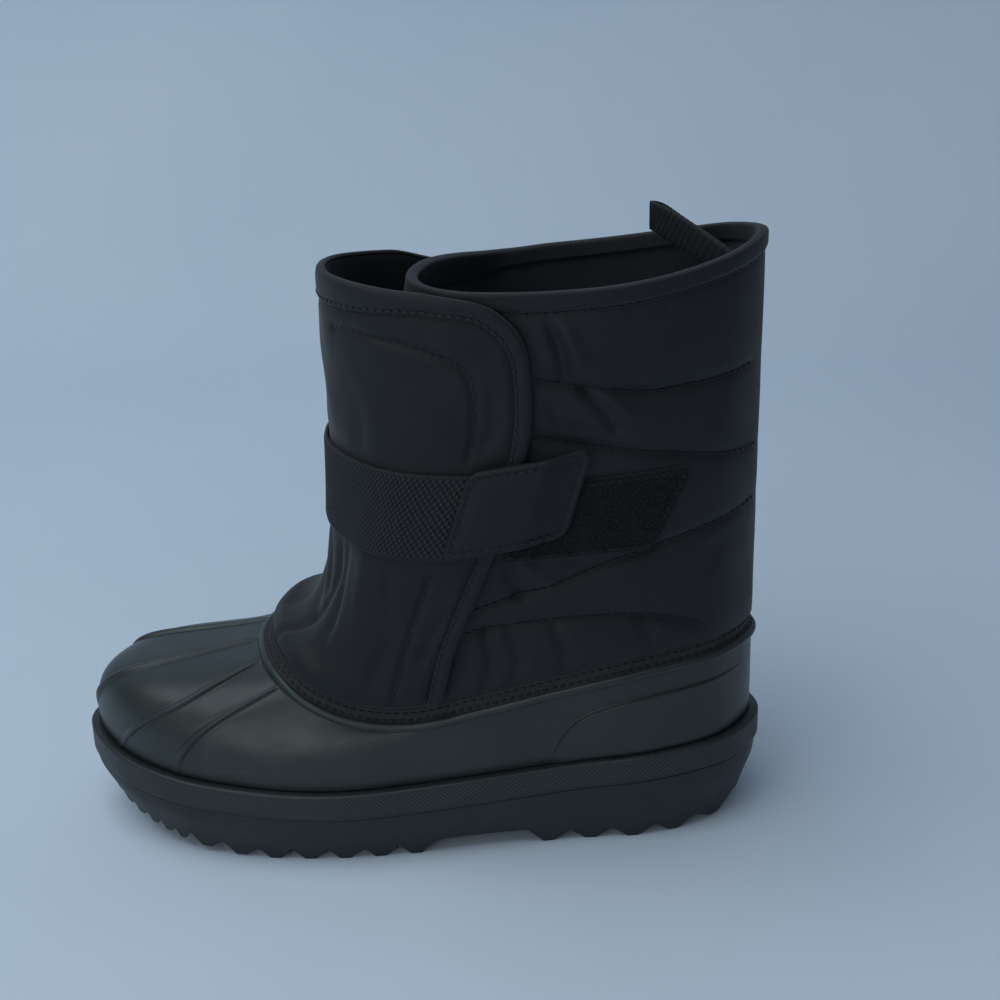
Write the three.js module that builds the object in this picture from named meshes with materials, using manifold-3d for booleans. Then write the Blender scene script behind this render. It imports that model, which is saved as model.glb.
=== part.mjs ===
// Left snow boot: a moulded rubber lower with toe ribs, a padded fabric shaft, a wrapped front flap and
// an ankle strap. Millimetres. The toe points to -X, the lateral side to -Y, and +Z is up.
import * as THREE from 'three';
import { mergeVertices } from 'three/addons/utils/BufferGeometryUtils.js';
import Module from 'manifold-3d';

const wasm = await Module();
wasm.setup();

// Driving sizes of the last and the sole.
const LENGTH = 255; // over the sole's ledge
const BALL = 47.5; // half width of the shell at the ball, lateral side
const HEIGHT = 220; // top of the shaft at the back
const LEDGE = 3.6; // the band stands out from the shell by this
const BAND = 10.3; // height of the foxing band
const TREAD_INSET = 4.5; // the outsole's side slants in by this
const HEEL_INSET = 2; // and by this much more at the very back
const HEEL_SPREAD = 0.09; // how far round that reaches, as a share of the way round
const SOLE_BEND = { inset: 0.35, up: 0.7 }; // where the outsole's side bends, as shares of inset and height
const FOOTBED = 5.5; // depth of the recess for the insole
const INSOLE = 4;

// Walls, clearances and edges.
const GAP = 0.3;
const SHELL_WALL = 2.6;
const SHAFT_WALL = 4.8;
const RIM_WALL = 2.2; // the padded wall thins to this at the collar
const RIM_START = 0.72; // from this share of the shaft's height
const BEAD = 1.7; // radius of the rolled bead at the shell's rim
const FLANGE = 8.5; // height of the sewing flange above the rim
const FLANGE_DIP = 0.9; // the flange lies this far behind the shell's surface
const LIP = 2.2; // fabric that is tucked in behind the flange
const LIP_LEAN = 0.4; // its lower edge leans in by this
const EASE = 1; // a small chamfer

const STATIONS = 60; // columns of the round forms

// Toe ribs and heel counter.
const RIB = 1.5;
const RIB_SPREAD = 0.0034; // half a rib's width, as a share of the way round
const RIB_FADE = 0.35; // a rib is lower by this share at the rim
// The ribs bow towards the outer side, most at half height: places and bows as shares of the way round.
const RIB_BOWS = [
  { at: -0.5, bow: 0 },
  { at: -0.2, bow: 0 },
  { at: -0.1, bow: 0.004 },
  { at: -0.05, bow: 0.018 },
  { at: 0, bow: 0.027 },
  { at: 0.05, bow: 0.031 },
  { at: 0.1, bow: 0.0095 },
  { at: 0.2, bow: 0 },
  { at: 0.5, bow: 0 },
];
const COUNTER_STEP = 1;
const COUNTER_START = 0.335; // where the counter's arc leaves the ledge, as a share of the way round
const COUNTER_TOP = 0.74; // the arc's height at the back, as a share of the shell's profile
const COUNTER_RISE = 0.017; // how fast the arc climbs
const COUNTER_FOOT = 0.04; // the arc's height where it leaves the ledge
const COUNTER_EDGE = 0.014; // half the height of the step's slope
const COUNTER_END = { from: 0.42, to: 0.48 }; // the step runs out towards the back

// Rough measures of the shaft, to turn millimetres on its surface into shares.
const GIRTH = 430;
const SHAFT_HEIGHT = 150;

// Fabric overlays.
const FLAP = 2.6;
const FLAP_STANDOFF = 0.4;
const FLAP_LIFT = 1; // room under the flap for the collar's binding
const FLAP_EASE = 0.8; // room under the flap where the instep is hollow
const FLAP_SEAM = 1; // the flap thins to this at its seams
const FLAP_TUCK = { deep: 0.03, from: 0.13, to: 0.215 }; // its top edge dips below the collar at the seam
const BINDING = 4.6; // width of the flap's bound edge
const BOUND = 0.963; // the shaft's height share where its binding starts
const TAPE = 0.6; // thickness of a bound edge
const ELASTIC = {
  half: 15.3,
  thick: 1.6,
  tuck: 5, // under the tab
  slant: 0.06,
  line: [
    { at: 0, height: 0.612 },
    { at: 0.45, height: 0.618 },
    { at: 0.75, height: 0.612 },
    { at: 1, height: 0.606 },
  ],
};
const TAB = { half: 16, thick: 2.6, radius: 4.5, rest: 0.6, slant: 0.1 };
const PATCH = { half: 14.5, thick: 1.2, radius: 4, slant: 0.3 };
const WEBBING = { width: 10, thick: 1.3 };
const POCKET = { deep: 31, skew: 0.3, reach: 0.7, start: 0.1, curve: 1.6 }; // between flap and gusset

// Tread.
const TOOTH_TIP = 3.6;
const CHANNEL = { width: 8, deep: 3, from: 0.16, to: 0.94 };

// Rings of stations from the toe to the heel. x is a share of LENGTH, lateral and medial are shares of
// BALL, height is a share of HEIGHT and inner is the medial side's. The first rows lie on the toe ribs.
const FOOT = [
  { x: 0.012, lateral: -0.08, medial: 0.08 },
  { x: 0.062, lateral: 0.46, medial: 0.56 },
  { x: 0.153, lateral: 0.81, medial: 0.80 },
  { x: 0.260, lateral: 0.96, medial: 0.91 },
  { x: 0.376, lateral: 1.00, medial: 0.93 },
  { x: 0.494, lateral: 0.94, medial: 0.85 },
  { x: 0.608, lateral: 0.85, medial: 0.75 },
  { x: 0.725, lateral: 0.76, medial: 0.71 },
  { x: 0.839, lateral: 0.71, medial: 0.69 },
  { x: 0.937, lateral: 0.48, medial: 0.47 },
  { x: 0.986, lateral: 0, medial: 0 },
];
const RIM = [
  { x: 0.267, lateral: -0.03, medial: 0.03, height: 0.309 },
  { x: 0.279, lateral: 0.36, medial: 0.41, height: 0.307 },
  { x: 0.310, lateral: 0.68, medial: 0.70, height: 0.293 },
  { x: 0.356, lateral: 0.83, medial: 0.82, height: 0.262 },
  { x: 0.420, lateral: 0.89, medial: 0.86, height: 0.236 },
  { x: 0.498, lateral: 0.90, medial: 0.86, height: 0.230 },
  { x: 0.588, lateral: 0.88, medial: 0.84, height: 0.250 },
  { x: 0.698, lateral: 0.83, medial: 0.80, height: 0.277 },
  { x: 0.812, lateral: 0.75, medial: 0.73, height: 0.300 },
  { x: 0.930, lateral: 0.52, medial: 0.51, height: 0.313 },
  { x: 0.987, lateral: 0, medial: 0, height: 0.314 },
];
const COLLAR = [
  { x: 0.403, lateral: 0, medial: 0, height: 0.956, inner: 0.956 },
  { x: 0.414, lateral: 0.30, medial: 0.30, height: 0.957, inner: 0.950 },
  { x: 0.449, lateral: 0.57, medial: 0.56, height: 0.957, inner: 0.941 },
  { x: 0.500, lateral: 0.76, medial: 0.73, height: 0.955, inner: 0.934 },
  { x: 0.563, lateral: 0.86, medial: 0.82, height: 0.953, inner: 0.932 },
  { x: 0.636, lateral: 0.89, medial: 0.85, height: 0.952, inner: 0.934 },
  { x: 0.716, lateral: 0.89, medial: 0.86, height: 0.953, inner: 0.940 },
  { x: 0.798, lateral: 0.84, medial: 0.82, height: 0.958, inner: 0.950 },
  { x: 0.882, lateral: 0.70, medial: 0.69, height: 0.971, inner: 0.967 },
  { x: 0.957, lateral: 0.43, medial: 0.43, height: 0.989, inner: 0.988 },
  { x: 0.993, lateral: 0, medial: 0, height: 1, inner: 1 },
];

// Profiles of the same stations. The shell's curve leaves the ledge by lift (share of its height) and
// bulge (share of LEDGE), and comes to the rim from reach (share of the way in) and crown (share of its
// height). lean tips the flange inwards, in radians, and instep is the hollow in front of the ankle.
const PROFILE = [
  { lift: 1.02, bulge: 0.75, reach: 0.32, crown: 0.78, lean: 0.50, instep: 1 },
  { lift: 1.00, bulge: 0.70, reach: 0.33, crown: 0.77, lean: 0.46, instep: 0.95 },
  { lift: 0.72, bulge: 0.45, reach: 0.40, crown: 0.74, lean: 0.36, instep: 0.8 },
  { lift: 0.42, bulge: 0.45, reach: 0.40, crown: 0.70, lean: 0.22, instep: 0.45 },
  { lift: 0.42, bulge: 0.45, reach: 0.36, crown: 0.84, lean: 0.10, instep: 0.12 },
  { lift: 0.42, bulge: 0.45, reach: 0.36, crown: 0.84, lean: 0.06, instep: 0 },
  { lift: 0.42, bulge: 0.40, reach: 0.40, crown: 0.80, lean: 0.05, instep: 0 },
  { lift: 0.40, bulge: 0.30, reach: 0.40, crown: 0.75, lean: 0.04, instep: 0 },
  { lift: 0.40, bulge: 0.20, reach: 0.50, crown: 0.70, lean: 0.03, instep: 0 },
  { lift: 0.40, bulge: 0.10, reach: 0.50, crown: 0.70, lean: 0.02, instep: 0 },
  { lift: 0.40, bulge: 0.10, reach: 0.50, crown: 0.70, lean: 0, instep: 0 },
];

// Heights along the boot: the ledge's top and the line of the tread's tips.
const LEDGE_LINE = [
  { x: 0, height: 0.162 },
  { x: 0.18, height: 0.144 },
  { x: 0.38, height: 0.131 },
  { x: 0.56, height: 0.141 },
  { x: 0.75, height: 0.157 },
  { x: 0.90, height: 0.170 },
  { x: 1, height: 0.170 },
];
const TREAD_LINE = [
  { x: 0, height: 0.068 },
  { x: 0.10, height: 0.034 },
  { x: 0.20, height: 0.010 },
  { x: 0.275, height: 0 },
  { x: 0.40, height: 0 },
  { x: 0.50, height: 0 },
  { x: 0.56, height: 0.013 },
  { x: 0.63, height: 0.016 },
  { x: 0.675, height: 0 },
  { x: 0.74, height: 0 },
  { x: 0.82, height: 0 },
  { x: 0.92, height: 0.006 },
  { x: 1, height: 0.015 },
];
// Teeth from the toe to the heel: where each zone starts and ends, and its teeth.
const TEETH = [
  { from: 0.030, to: 0.165, count: 6, deep: 3.2 },
  { from: 0.165, to: 0.520, count: 7, deep: 5 },
  { from: 0.655, to: 1.021, count: 6, deep: 4.5 },
];

// Lateral edge of the flap, from the flange to the end of its rounded corner.
const FLAP_EDGE = [
  { x: 0.538, height: 0.285 },
  { x: 0.559, height: 0.380 },
  { x: 0.598, height: 0.490 },
  { x: 0.643, height: 0.620 },
  { x: 0.668, height: 0.740 },
  { x: 0.670, height: 0.830 },
  { x: 0.661, height: 0.885 },
  { x: 0.636, height: 0.922 },
  { x: 0.598, height: 0.948 },
  { x: 0.543, height: 0.966 },
];
const FLAP_SEAM_AT = { low: -0.255, high: -0.215 }; // medial seam, as a share of the way round

// Middle line of the strap's parts on the lateral side.
const TAB_LINE = { x: [0.570, 0.734], height: [0.612, 0.640] };
const PATCH_LINE = { x: [0.655, 0.862], height: [0.590, 0.598] };
const TAB_DROP = { from: 0.62, to: 0.9 }; // shares of the tab's length, past the flap's edge
// The pull loop's fold in the air; its ends are sewn to the lining.
const LOOP = {
  root: 0.885,
  spread: 0.02,
  fold: [
    { x: 0.950, y: 0.06, height: 0.936 },
    { x: 0.895, y: 0.24, height: 0.975 },
    { x: 0.852, y: 0.36, height: 1.003 },
    { x: 0.844, y: 0.42, height: 1.006 },
    { x: 0.854, y: 0.47, height: 1.001 },
    { x: 0.895, y: 0.38, height: 0.972 },
    { x: 0.949, y: 0.22, height: 0.934 },
  ],
};

const Z = new THREE.Vector3(0, 0, 1);
const SMALL = 1e-3;

const lerp = THREE.MathUtils.lerp;
const ease = (value, from, to) => THREE.MathUtils.smoothstep(value, from, to);

// A smooth line through rows, from one column to another.
function lineThrough(rows, from, to) {
  const line = new THREE.CubicInterpolant(
    rows.map((row) => row[from]), rows.map((row) => row[to]), 1, [0]);
  return (at) => line.evaluate(at)[0];
}

// A closed curve through a table's stations: down the lateral side (u from 0) and back up the medial one.
function around(table, read) {
  const lateral = table.map((row) => read(row, -row.lateral));
  const medial = table.slice(1, -1).reverse().map((row) => read(row, row.medial));
  const curve = new THREE.CatmullRomCurve3([...lateral, ...medial], true, 'catmullrom', 0.5);
  return (u) => curve.getPoint(u - Math.floor(u));
}

const ledgeLine = lineThrough(LEDGE_LINE, 'x', 'height');
const ribBow = lineThrough(RIB_BOWS, 'at', 'bow');
const treadLine = lineThrough(TREAD_LINE, 'x', 'height');
const ledgeTop = (x) => ledgeLine(x / LENGTH) * HEIGHT;
const treadTip = (x) => Math.max(0, treadLine(x / LENGTH)) * HEIGHT;

function station(row, y) {
  const height = y > 0 ? row.inner ?? row.height : row.height;
  return new THREE.Vector3(row.x * LENGTH, y * BALL, (height ?? 0) * HEIGHT);
}

const foot = around(FOOT, station);
const rim = around(RIM, station);
const collar = around(COLLAR, station);
const profiles = FOOT.map((row, i) => ({ ...PROFILE[i], lateral: row.lateral, medial: row.medial }));
const handles = around(profiles, (row) => new THREE.Vector3(row.lift, row.bulge, row.instep));
const crowns = around(profiles, (row) => new THREE.Vector3(row.reach, row.crown, row.lean));

// Outward direction of a ring in plan.
function outward(ring, u) {
  const along = ring(u + SMALL).sub(ring(u - SMALL));
  return new THREE.Vector3(along.y, -along.x, 0).normalize();
}

// A point of a surface, moved along its outward normal.
function lifted(surface, u, v, distance) {
  const across = surface(u + SMALL, v).sub(surface(u - SMALL, v));
  const up = surface(u, v + SMALL).sub(surface(u, v - SMALL));
  return surface(u, v).addScaledVector(across.cross(up).normalize(), distance);
}

const bezier = (a, b, c, d, share) => new THREE.CubicBezierCurve3(a, b, c, d).getPoint(share);

// The shell's outer surface without ribs: u goes round, v goes from the ledge to the rim.
function shellSurface(u, v) {
  const [lift, bulge] = handles(u).toArray();
  const [reach, crown] = crowns(u).toArray();
  const low = foot(u);
  low.z = ledgeTop(low.x) + GAP;
  const high = rim(u);
  const rise = high.z - low.z;
  const first = low.clone().addScaledVector(Z, lift * rise).addScaledVector(outward(foot, u), bulge * LEDGE);
  const second = low.clone().lerp(high, reach).setZ(low.z + crown * rise);
  return bezier(low, first, second, high, v);
}

// The flange's own directions: along it, up and inwards, and out of it.
function flangeFrame(u) {
  const lean = crowns(u).z;
  const out = outward(rim, u);
  return {
    along: Z.clone().multiplyScalar(Math.cos(lean)).addScaledVector(out, -Math.sin(lean)),
    out: out.clone().multiplyScalar(Math.cos(lean)).addScaledVector(Z, Math.sin(lean)),
  };
}

// A point beside the flange: up is measured from the rim, out from the shell's surface.
function flangePoint(u, up, out) {
  const frame = flangeFrame(u);
  return rim(u).addScaledVector(frame.along, up).addScaledVector(frame.out, out);
}

// The upper's envelope above the flange: u goes round, v goes from the flange to the collar.
function envelope(u, v) {
  const low = flangePoint(u, FLANGE + GAP, 0);
  const high = collar(u);
  const instep = handles(u).z;
  const inwards = [lerp(0.33, 1.1, instep), lerp(0.66, 0.95, instep)];
  const up = [lerp(0.33, 0, instep), lerp(0.66, 0.3, instep)];
  const [first, second] = [0, 1].map((i) =>
    low.clone().lerp(high, inwards[i]).setZ(lerp(low.z, high.z, up[i])));
  return bezier(low, first, second, high, v);
}

// The shaft's outer surface: the envelope with the gusset set back from the flap.
function shaftSurface(u, v) {
  const point = envelope(u, v);
  const front = collar(0).x;
  const end = POCKET.reach * LENGTH;
  const share = THREE.MathUtils.clamp((end - point.x) / (end - front), 0, 1);
  const open = Math.max(0, (v - POCKET.start) / (1 - POCKET.start)) ** POCKET.curve;
  point.x += (POCKET.deep + POCKET.skew * point.y) * open * share ** 1.2;
  return point;
}

// Where the lateral side of the envelope has a given length and height.
function onSide(x, z) {
  let [u, v] = [0.3, 0.5];
  for (let i = 0; i < 20; i += 1) {
    const point = envelope(u, v);
    u += (x - point.x) / GIRTH;
    v += (z - point.z) / SHAFT_HEIGHT;
  }
  return new THREE.Vector2(u, v);
}

// How far up the envelope a height lies, at a way round.
function riseTo(u, z) {
  let v = 0.5;
  for (let i = 0; i < 20; i += 1) v += (z - envelope(u, v).z) / SHAFT_HEIGHT;
  return v;
}

// Closes rows of points, each a closed loop, into one solid. With loop the last row meets the first,
// and else both end rows are capped from side to side.
function skin(rows, loop = false) {
  const count = rows[0].length;
  const index = [];
  const quad = (a, b, c, d) => index.push(a, b, c, a, c, d);
  const last = loop ? rows.length : rows.length - 1;
  for (let j = 0; j < last; j += 1) {
    const here = j * count;
    const next = ((j + 1) % rows.length) * count;
    for (let i = 0; i < count; i += 1) {
      const k = (i + 1) % count;
      quad(here + i, here + k, next + k, next + i);
    }
  }
  if (!loop) {
    const top = (rows.length - 1) * count;
    for (let i = 0; i < count / 2 - 1; i += 1) {
      const j = count - 1 - i;
      quad(j, j - 1, i + 1, i);
      quad(top + i, top + i + 1, top + j - 1, top + j);
    }
  }
  const geometry = new THREE.BufferGeometry().setFromPoints(rows.flat());
  geometry.setIndex(index);
  return signedVolume(geometry) < 0 ? turned(geometry) : geometry;
}

function signedVolume(geometry) {
  const spots = geometry.attributes.position;
  const index = geometry.index.array;
  const [a, b, c] = [new THREE.Vector3(), new THREE.Vector3(), new THREE.Vector3()];
  let volume = 0;
  for (let i = 0; i < index.length; i += 3) {
    a.fromBufferAttribute(spots, index[i]);
    b.fromBufferAttribute(spots, index[i + 1]);
    c.fromBufferAttribute(spots, index[i + 2]);
    volume += a.dot(b.cross(c)) / 6;
  }
  return volume;
}

function turned(geometry) {
  geometry.setIndex([...geometry.index.array].reverse());
  return geometry;
}

function toManifold(geometry) {
  geometry.deleteAttribute('normal');
  geometry.deleteAttribute('uv');
  const merged = mergeVertices(geometry, 1e-4);
  return new wasm.Manifold(new wasm.Mesh({
    numProp: 3,
    vertProperties: new Float32Array(merged.attributes.position.array),
    triVerts: new Uint32Array(merged.index.array),
  }));
}

function fromManifold(solid) {
  const mesh = solid.getMesh();
  const geometry = new THREE.BufferGeometry();
  geometry.setAttribute('position', new THREE.BufferAttribute(mesh.vertProperties, 3));
  geometry.setIndex(new THREE.BufferAttribute(mesh.triVerts, 1));
  return geometry;
}

const evenly = (count, from = 0, to = 1) =>
  Array.from({ length: count }, (_, i) => lerp(from, to, i / (count - 1)));

const RING = Array.from({ length: STATIONS }, (_, i) => i / STATIONS);

// The foot's outline moved outwards, at a height worked out from each point's x.
const outline = (out, height) => RING.map((u) => {
  const point = foot(u).addScaledVector(outward(foot, u), typeof out === 'function' ? out(u) : out);
  return point.setZ(height(point.x));
});

function outsole() {
  const heel = (u) => Math.exp(-(((u - 0.5) / HEEL_SPREAD) ** 2));
  const under = LEDGE - EASE;
  const body = skin([
    outline((u) => under - TREAD_INSET - HEEL_INSET * heel(u), () => -1),
    outline((u) => under - TREAD_INSET - HEEL_INSET * heel(u), (x) => Math.max(0, treadTip(x))),
    outline(
      (u) => under - SOLE_BEND.inset * HEEL_INSET * heel(u),
      (x) => lerp(treadTip(x), ledgeTop(x) - BAND, SOLE_BEND.up)),
    outline(under, (x) => ledgeTop(x) - BAND - GAP),
  ]);
  return fromManifold(toManifold(body).subtract(toManifold(treadCutter())).subtract(toManifold(channel())));
}

// Everything below the tread's saw-tooth line, as wide as the boot.
function treadCutter() {
  const line = [];
  for (const zone of TEETH) {
    const pitch = ((zone.to - zone.from) * LENGTH) / zone.count;
    for (let i = 0; i < zone.count; i += 1) {
      const middle = zone.from * LENGTH + (i + 0.5) * pitch;
      const tip = Math.min(TOOTH_TIP, 0.4 * pitch) / 2;
      const root = middle - pitch / 2;
      line.push([root, treadTip(root) + zone.deep]);
      line.push([middle - tip, treadTip(middle)]);
      line.push([middle + tip, treadTip(middle)]);
    }
    const end = zone.to * LENGTH;
    line.push([end, treadTip(end) + zone.deep]);
  }
  const shape = new THREE.Shape();
  shape.moveTo(-BAND, -BAND);
  shape.lineTo(-BAND, line[0][1]);
  line.forEach(([x, z]) => shape.lineTo(x, z));
  shape.lineTo(LENGTH + BAND, line.at(-1)[1]);
  shape.lineTo(LENGTH + BAND, -BAND);
  const wide = 4 * BALL;
  return new THREE.ExtrudeGeometry(shape, { depth: wide, bevelEnabled: false, steps: 1 })
    .rotateX(Math.PI / 2).translate(0, wide / 2, 0);
}

// A groove along the middle of the tread.
function channel() {
  const rows = evenly(12, CHANNEL.from * LENGTH, CHANNEL.to * LENGTH).map((x) => {
    const top = treadTip(x) + CHANNEL.deep;
    const side = CHANNEL.width / 2;
    return [[-side, -BAND], [side, -BAND], [side, top], [-side, top]]
      .map(([y, z]) => new THREE.Vector3(x, y, z));
  });
  return skin(rows);
}

function midsole() {
  const inside = -SHELL_WALL - 2 * GAP;
  return skin([
    outline(LEDGE - EASE, (x) => ledgeTop(x) - BAND),
    outline(LEDGE, (x) => ledgeTop(x) - BAND + EASE),
    outline(LEDGE, (x) => ledgeTop(x) - EASE),
    outline(LEDGE - EASE, ledgeTop),
    outline(inside, ledgeTop),
    outline(inside - EASE, (x) => ledgeTop(x) - FOOTBED),
  ]);
}

function insole() {
  const inside = -SHELL_WALL - 4 * GAP - EASE;
  const floor = (x) => ledgeTop(x) - FOOTBED + GAP;
  return skin([
    outline(inside - EASE, floor),
    outline(inside, (x) => floor(x) + EASE),
    outline(inside, (x) => floor(x) + INSOLE - EASE),
    outline(inside - EASE, (x) => floor(x) + INSOLE),
  ]);
}

// Ways round for the shell's columns: even ones, closer ones on each rib and along the counter's arc.
function shellColumns() {
  const ribs = [0, 1, 2, 18, 19].map((i) => i / 20);
  const near = (u, v) => Math.abs(u - v - Math.round(u - v));
  const onRibs = ribs.flatMap((rib) => [-2, -1, 0, 1, 2].map((i) => rib + (i * RIB_SPREAD) / 2));
  const onArc = [0, 0.007, 0.014, 0.022].flatMap((d) => [COUNTER_START + d, 1 - COUNTER_START - d]);
  const even = evenly(57, 0, 1).slice(0, -1).filter((u) =>
    [...ribs].every((rib) => near(u, rib) > 2 * RIB_SPREAD) && onArc.every((arc) => near(u, arc) > 0.004));
  return [...onRibs.map((u) => (u + 1) % 1), ...onArc, ...even].sort((a, b) => a - b)
    .map((u) => ({ u, rib: ribHeight(Math.min(...ribs.map((rib) => near(u, rib)))) }));
}

const ribHeight = (away) => RIB * Math.cos((Math.PI / 2) * Math.min(1, away / RIB_SPREAD)) ** 0.8;

// A column's way round at a height share: the toe's columns bow, with the ribs on them.
const bowed = (u, v) => u + ribBow(u - Math.round(u)) * 4 * v * (1 - v);

// The counter's arc as a share of the shell's profile, and how far its step stands out there.
function counterArc(u) {
  const start = Math.min(u, 1 - u) - COUNTER_START;
  const climb = 1 - Math.exp(-Math.abs(start) / COUNTER_RISE);
  const begin = ease(start, 0, COUNTER_RISE / 2);
  const end = 1 - ease(start + COUNTER_START, COUNTER_END.from, COUNTER_END.to);
  return start > 0
    ? { share: lerp(COUNTER_FOOT, COUNTER_TOP, climb), step: COUNTER_STEP * begin * end }
    : { share: lerp(COUNTER_FOOT, 0.5, climb), step: 0 };
}

function rubberShell() {
  const columns = shellColumns();
  const above = [0, 0.14, 0.3, 0.48, 0.66, 0.84, 1];
  const shares = (arc) => [
    ...[0, 0.34, 0.68, 1].map((s) => ({ v: s * (arc.share - COUNTER_EDGE), step: arc.step })),
    ...above.map((s) => ({ v: lerp(arc.share + COUNTER_EDGE, 1, s), step: 0 })),
  ];
  const inner = [1, 0.72, 0.45, 0.2, 0];
  const sections = columns.map(({ u, rib }) => {
    const outer = shares(counterArc(u)).map(({ v, step }) =>
      lifted(shellSurface, bowed(u, v), v, step + rib * (1 - RIB_FADE * v) * ease(1 - v, 0, 0.05)));
    const base = outer[0].z;
    const bead = [0.15, 0.5, 0.85].map((s) =>
      flangePoint(u, BEAD * (1 - Math.cos(Math.PI * s)), BEAD * Math.sin(Math.PI * s)));
    const flange = [[2 * BEAD, -FLANGE_DIP], [FLANGE, -FLANGE_DIP], [FLANGE, -SHELL_WALL], [0, -SHELL_WALL]]
      .map(([up, out]) => flangePoint(u, up, out));
    const lining = inner.slice(1).map((v) => lifted(shellSurface, u, v, -SHELL_WALL));
    outer[0].z = base;
    lining.at(-1).z = base;
    return [...outer, ...bead, ...flange, ...lining];
  });
  return skin(transposed(sections), true);
}

const transposed = (sections) => sections[0].map((_, j) => sections.map((section) => section[j]));

const wallAt = (v) => THREE.MathUtils.lerp(SHAFT_WALL, RIM_WALL, ease(v, RIM_START, BOUND));

function shaft() {
  const tuck = -SHELL_WALL - GAP;
  const sections = RING.map((u) => [
    flangePoint(u, EASE, tuck - LIP_LEAN),
    flangePoint(u, FLANGE + GAP, tuck),
    ...[0, 0.05, 0.12, 0.22, 0.34, 0.47, 0.6, 0.73, 0.85, BOUND, 1].map((v) => shaftSurface(u, v)),
    ...[1, BOUND, 0.84, RIM_START, 0.5, 0.28, 0.1, 0.02].map((v) => lifted(shaftSurface, u, v, -wallAt(v))),
    flangePoint(u, EASE, tuck - LIP - LIP_LEAN),
  ]);
  return skin(transposed(sections), true);
}

// A bound rim: the tape goes down both faces of the shaft's wall and over its top.
function collarBinding() {
  const outer = (u, v, out, up) => lifted(shaftSurface, u, v, out).addScaledVector(Z, up);
  const faces = [GAP + TAPE, -RIM_WALL - GAP - TAPE];
  const sections = RING.map((u) => [
    outer(u, BOUND, GAP, 0),
    outer(u, BOUND, faces[0], 0),
    outer(u, 1, faces[0], 0),
    outer(u, 1, -0.2 * RIM_WALL, GAP + TAPE),
    outer(u, 1, -0.8 * RIM_WALL, GAP + TAPE),
    outer(u, 1, faces[1], 0),
    outer(u, BOUND, faces[1], 0),
    outer(u, BOUND, -RIM_WALL - GAP, 0),
    outer(u, 1, -RIM_WALL - GAP, GAP),
    outer(u, 1, GAP, GAP),
  ]);
  return skin(transposed(sections), true);
}

// The flap's lateral edge as ways round and up, from the flange to the corner's end, and its stations.
const flapEdge = new THREE.SplineCurve(FLAP_EDGE.map((row) => onSide(row.x * LENGTH, row.height * HEIGHT)));
const FLAP_STATIONS = [0, 0.1, 0.22, 0.34, 0.46, 0.57, 0.67, 0.76, 0.84, 0.9, 0.95, 1];
const FLAP_COLUMNS = [0, 0.03, ...evenly(18, 0.08, 1)];
const flapStandoff = (v) =>
  FLAP_STANDOFF + FLAP_LIFT * ease(v, 0.84, 0.92) + FLAP_EASE * (1 - ease(v, 0.08, 0.3));
const flapPoint = (u, v, depth) => lifted(envelope, u, v, flapStandoff(v) + depth);
const flapSeam = (v) => lerp(FLAP_SEAM_AT.low, FLAP_SEAM_AT.high, v);
function flapEdgeAt(share) {
  const spot = flapEdge.getPoint(share);
  const short = 1 - flapEdge.getPoint(1).y;
  return spot.setY(spot.y + short * ease(share, 0.8, 1));
}

const flapTuck = (u) => 1 - FLAP_TUCK.deep * ease(-u, FLAP_TUCK.from, FLAP_TUCK.to);

const flapThick = (u, v) =>
  lerp(FLAP_SEAM, FLAP, Math.min(ease(u - flapSeam(v), 0, 0.03), ease(v, 0, 0.08)));

function frontFlap() {
  const rows = FLAP_STATIONS.map((share) => {
    const edge = flapEdgeAt(share);
    const seam = new THREE.Vector2(flapSeam(edge.y), edge.y);
    const spots = FLAP_COLUMNS.map((a) => seam.clone().lerp(edge, a));
    spots.forEach((spot) => spot.setY(spot.y * flapTuck(spot.x)));
    const outer = spots.map(({ x, y }) => flapPoint(x, y, flapThick(x, y)));
    const inner = spots.map(({ x, y }) => flapPoint(x, y, 0)).reverse();
    return [...outer, ...inner];
  });
  return skin(rows);
}

// The edge's path over the surface, in shares: up the lateral edge, then forward round the collar.
function flapPath() {
  const rise = FLAP_STATIONS.map(flapEdgeAt);
  const top = FLAP_COLUMNS.slice(0, -1).reverse().map((share) => {
    const way = lerp(flapSeam(1), rise.at(-1).x, share);
    return new THREE.Vector2(way, flapTuck(way));
  });
  return [...rise, ...top];
}

// Tape over the flap's free edge: a leg on its outer face and a lip round the edge.
function flapBinding() {
  const path = flapPath();
  const scale = new THREE.Vector2(1 / GIRTH, 1 / SHAFT_HEIGHT);
  const rows = path.map((spot, i) => {
    const ahead = path[Math.min(i + 1, path.length - 1)].clone().sub(path[Math.max(i - 1, 0)]).divide(scale);
    const inward = new THREE.Vector2(-ahead.y, ahead.x).normalize();
    const at = (away, depth) => {
      const { x, y } = spot.clone().add(inward.clone().multiplyScalar(away).multiply(scale));
      return flapPoint(x, y, depth);
    };
    const top = FLAP + 1.5 * GAP;
    return [
      at(BINDING, top + TAPE), at(BINDING / 2, top + TAPE), at(-GAP - TAPE, top + TAPE), at(-GAP - TAPE, 0),
      at(-GAP, 0), at(-GAP, top), at(BINDING / 2, top), at(BINDING, top),
    ];
  });
  return skin(rows);
}

// A strip over the envelope. Each row has its way round, its middle height, its half width and the
// depths of its two faces. Its rows lean back by slant, and rest adds what lies under it at a height share.
function strip(rows, slant, rest = () => 0) {
  return skin(rows.map(({ u, z, half, under, over }) => {
    const spots = [-half, 0, half].map((up) => {
      const way = u + (up * slant) / GIRTH;
      return [way, riseTo(way, z + up)];
    });
    return [
      ...spots.map(([way, v]) => lifted(envelope, way, v, over + rest(v))),
      ...spots.reverse().map(([way, v]) => lifted(envelope, way, v, under + rest(v))),
    ];
  }));
}

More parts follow.
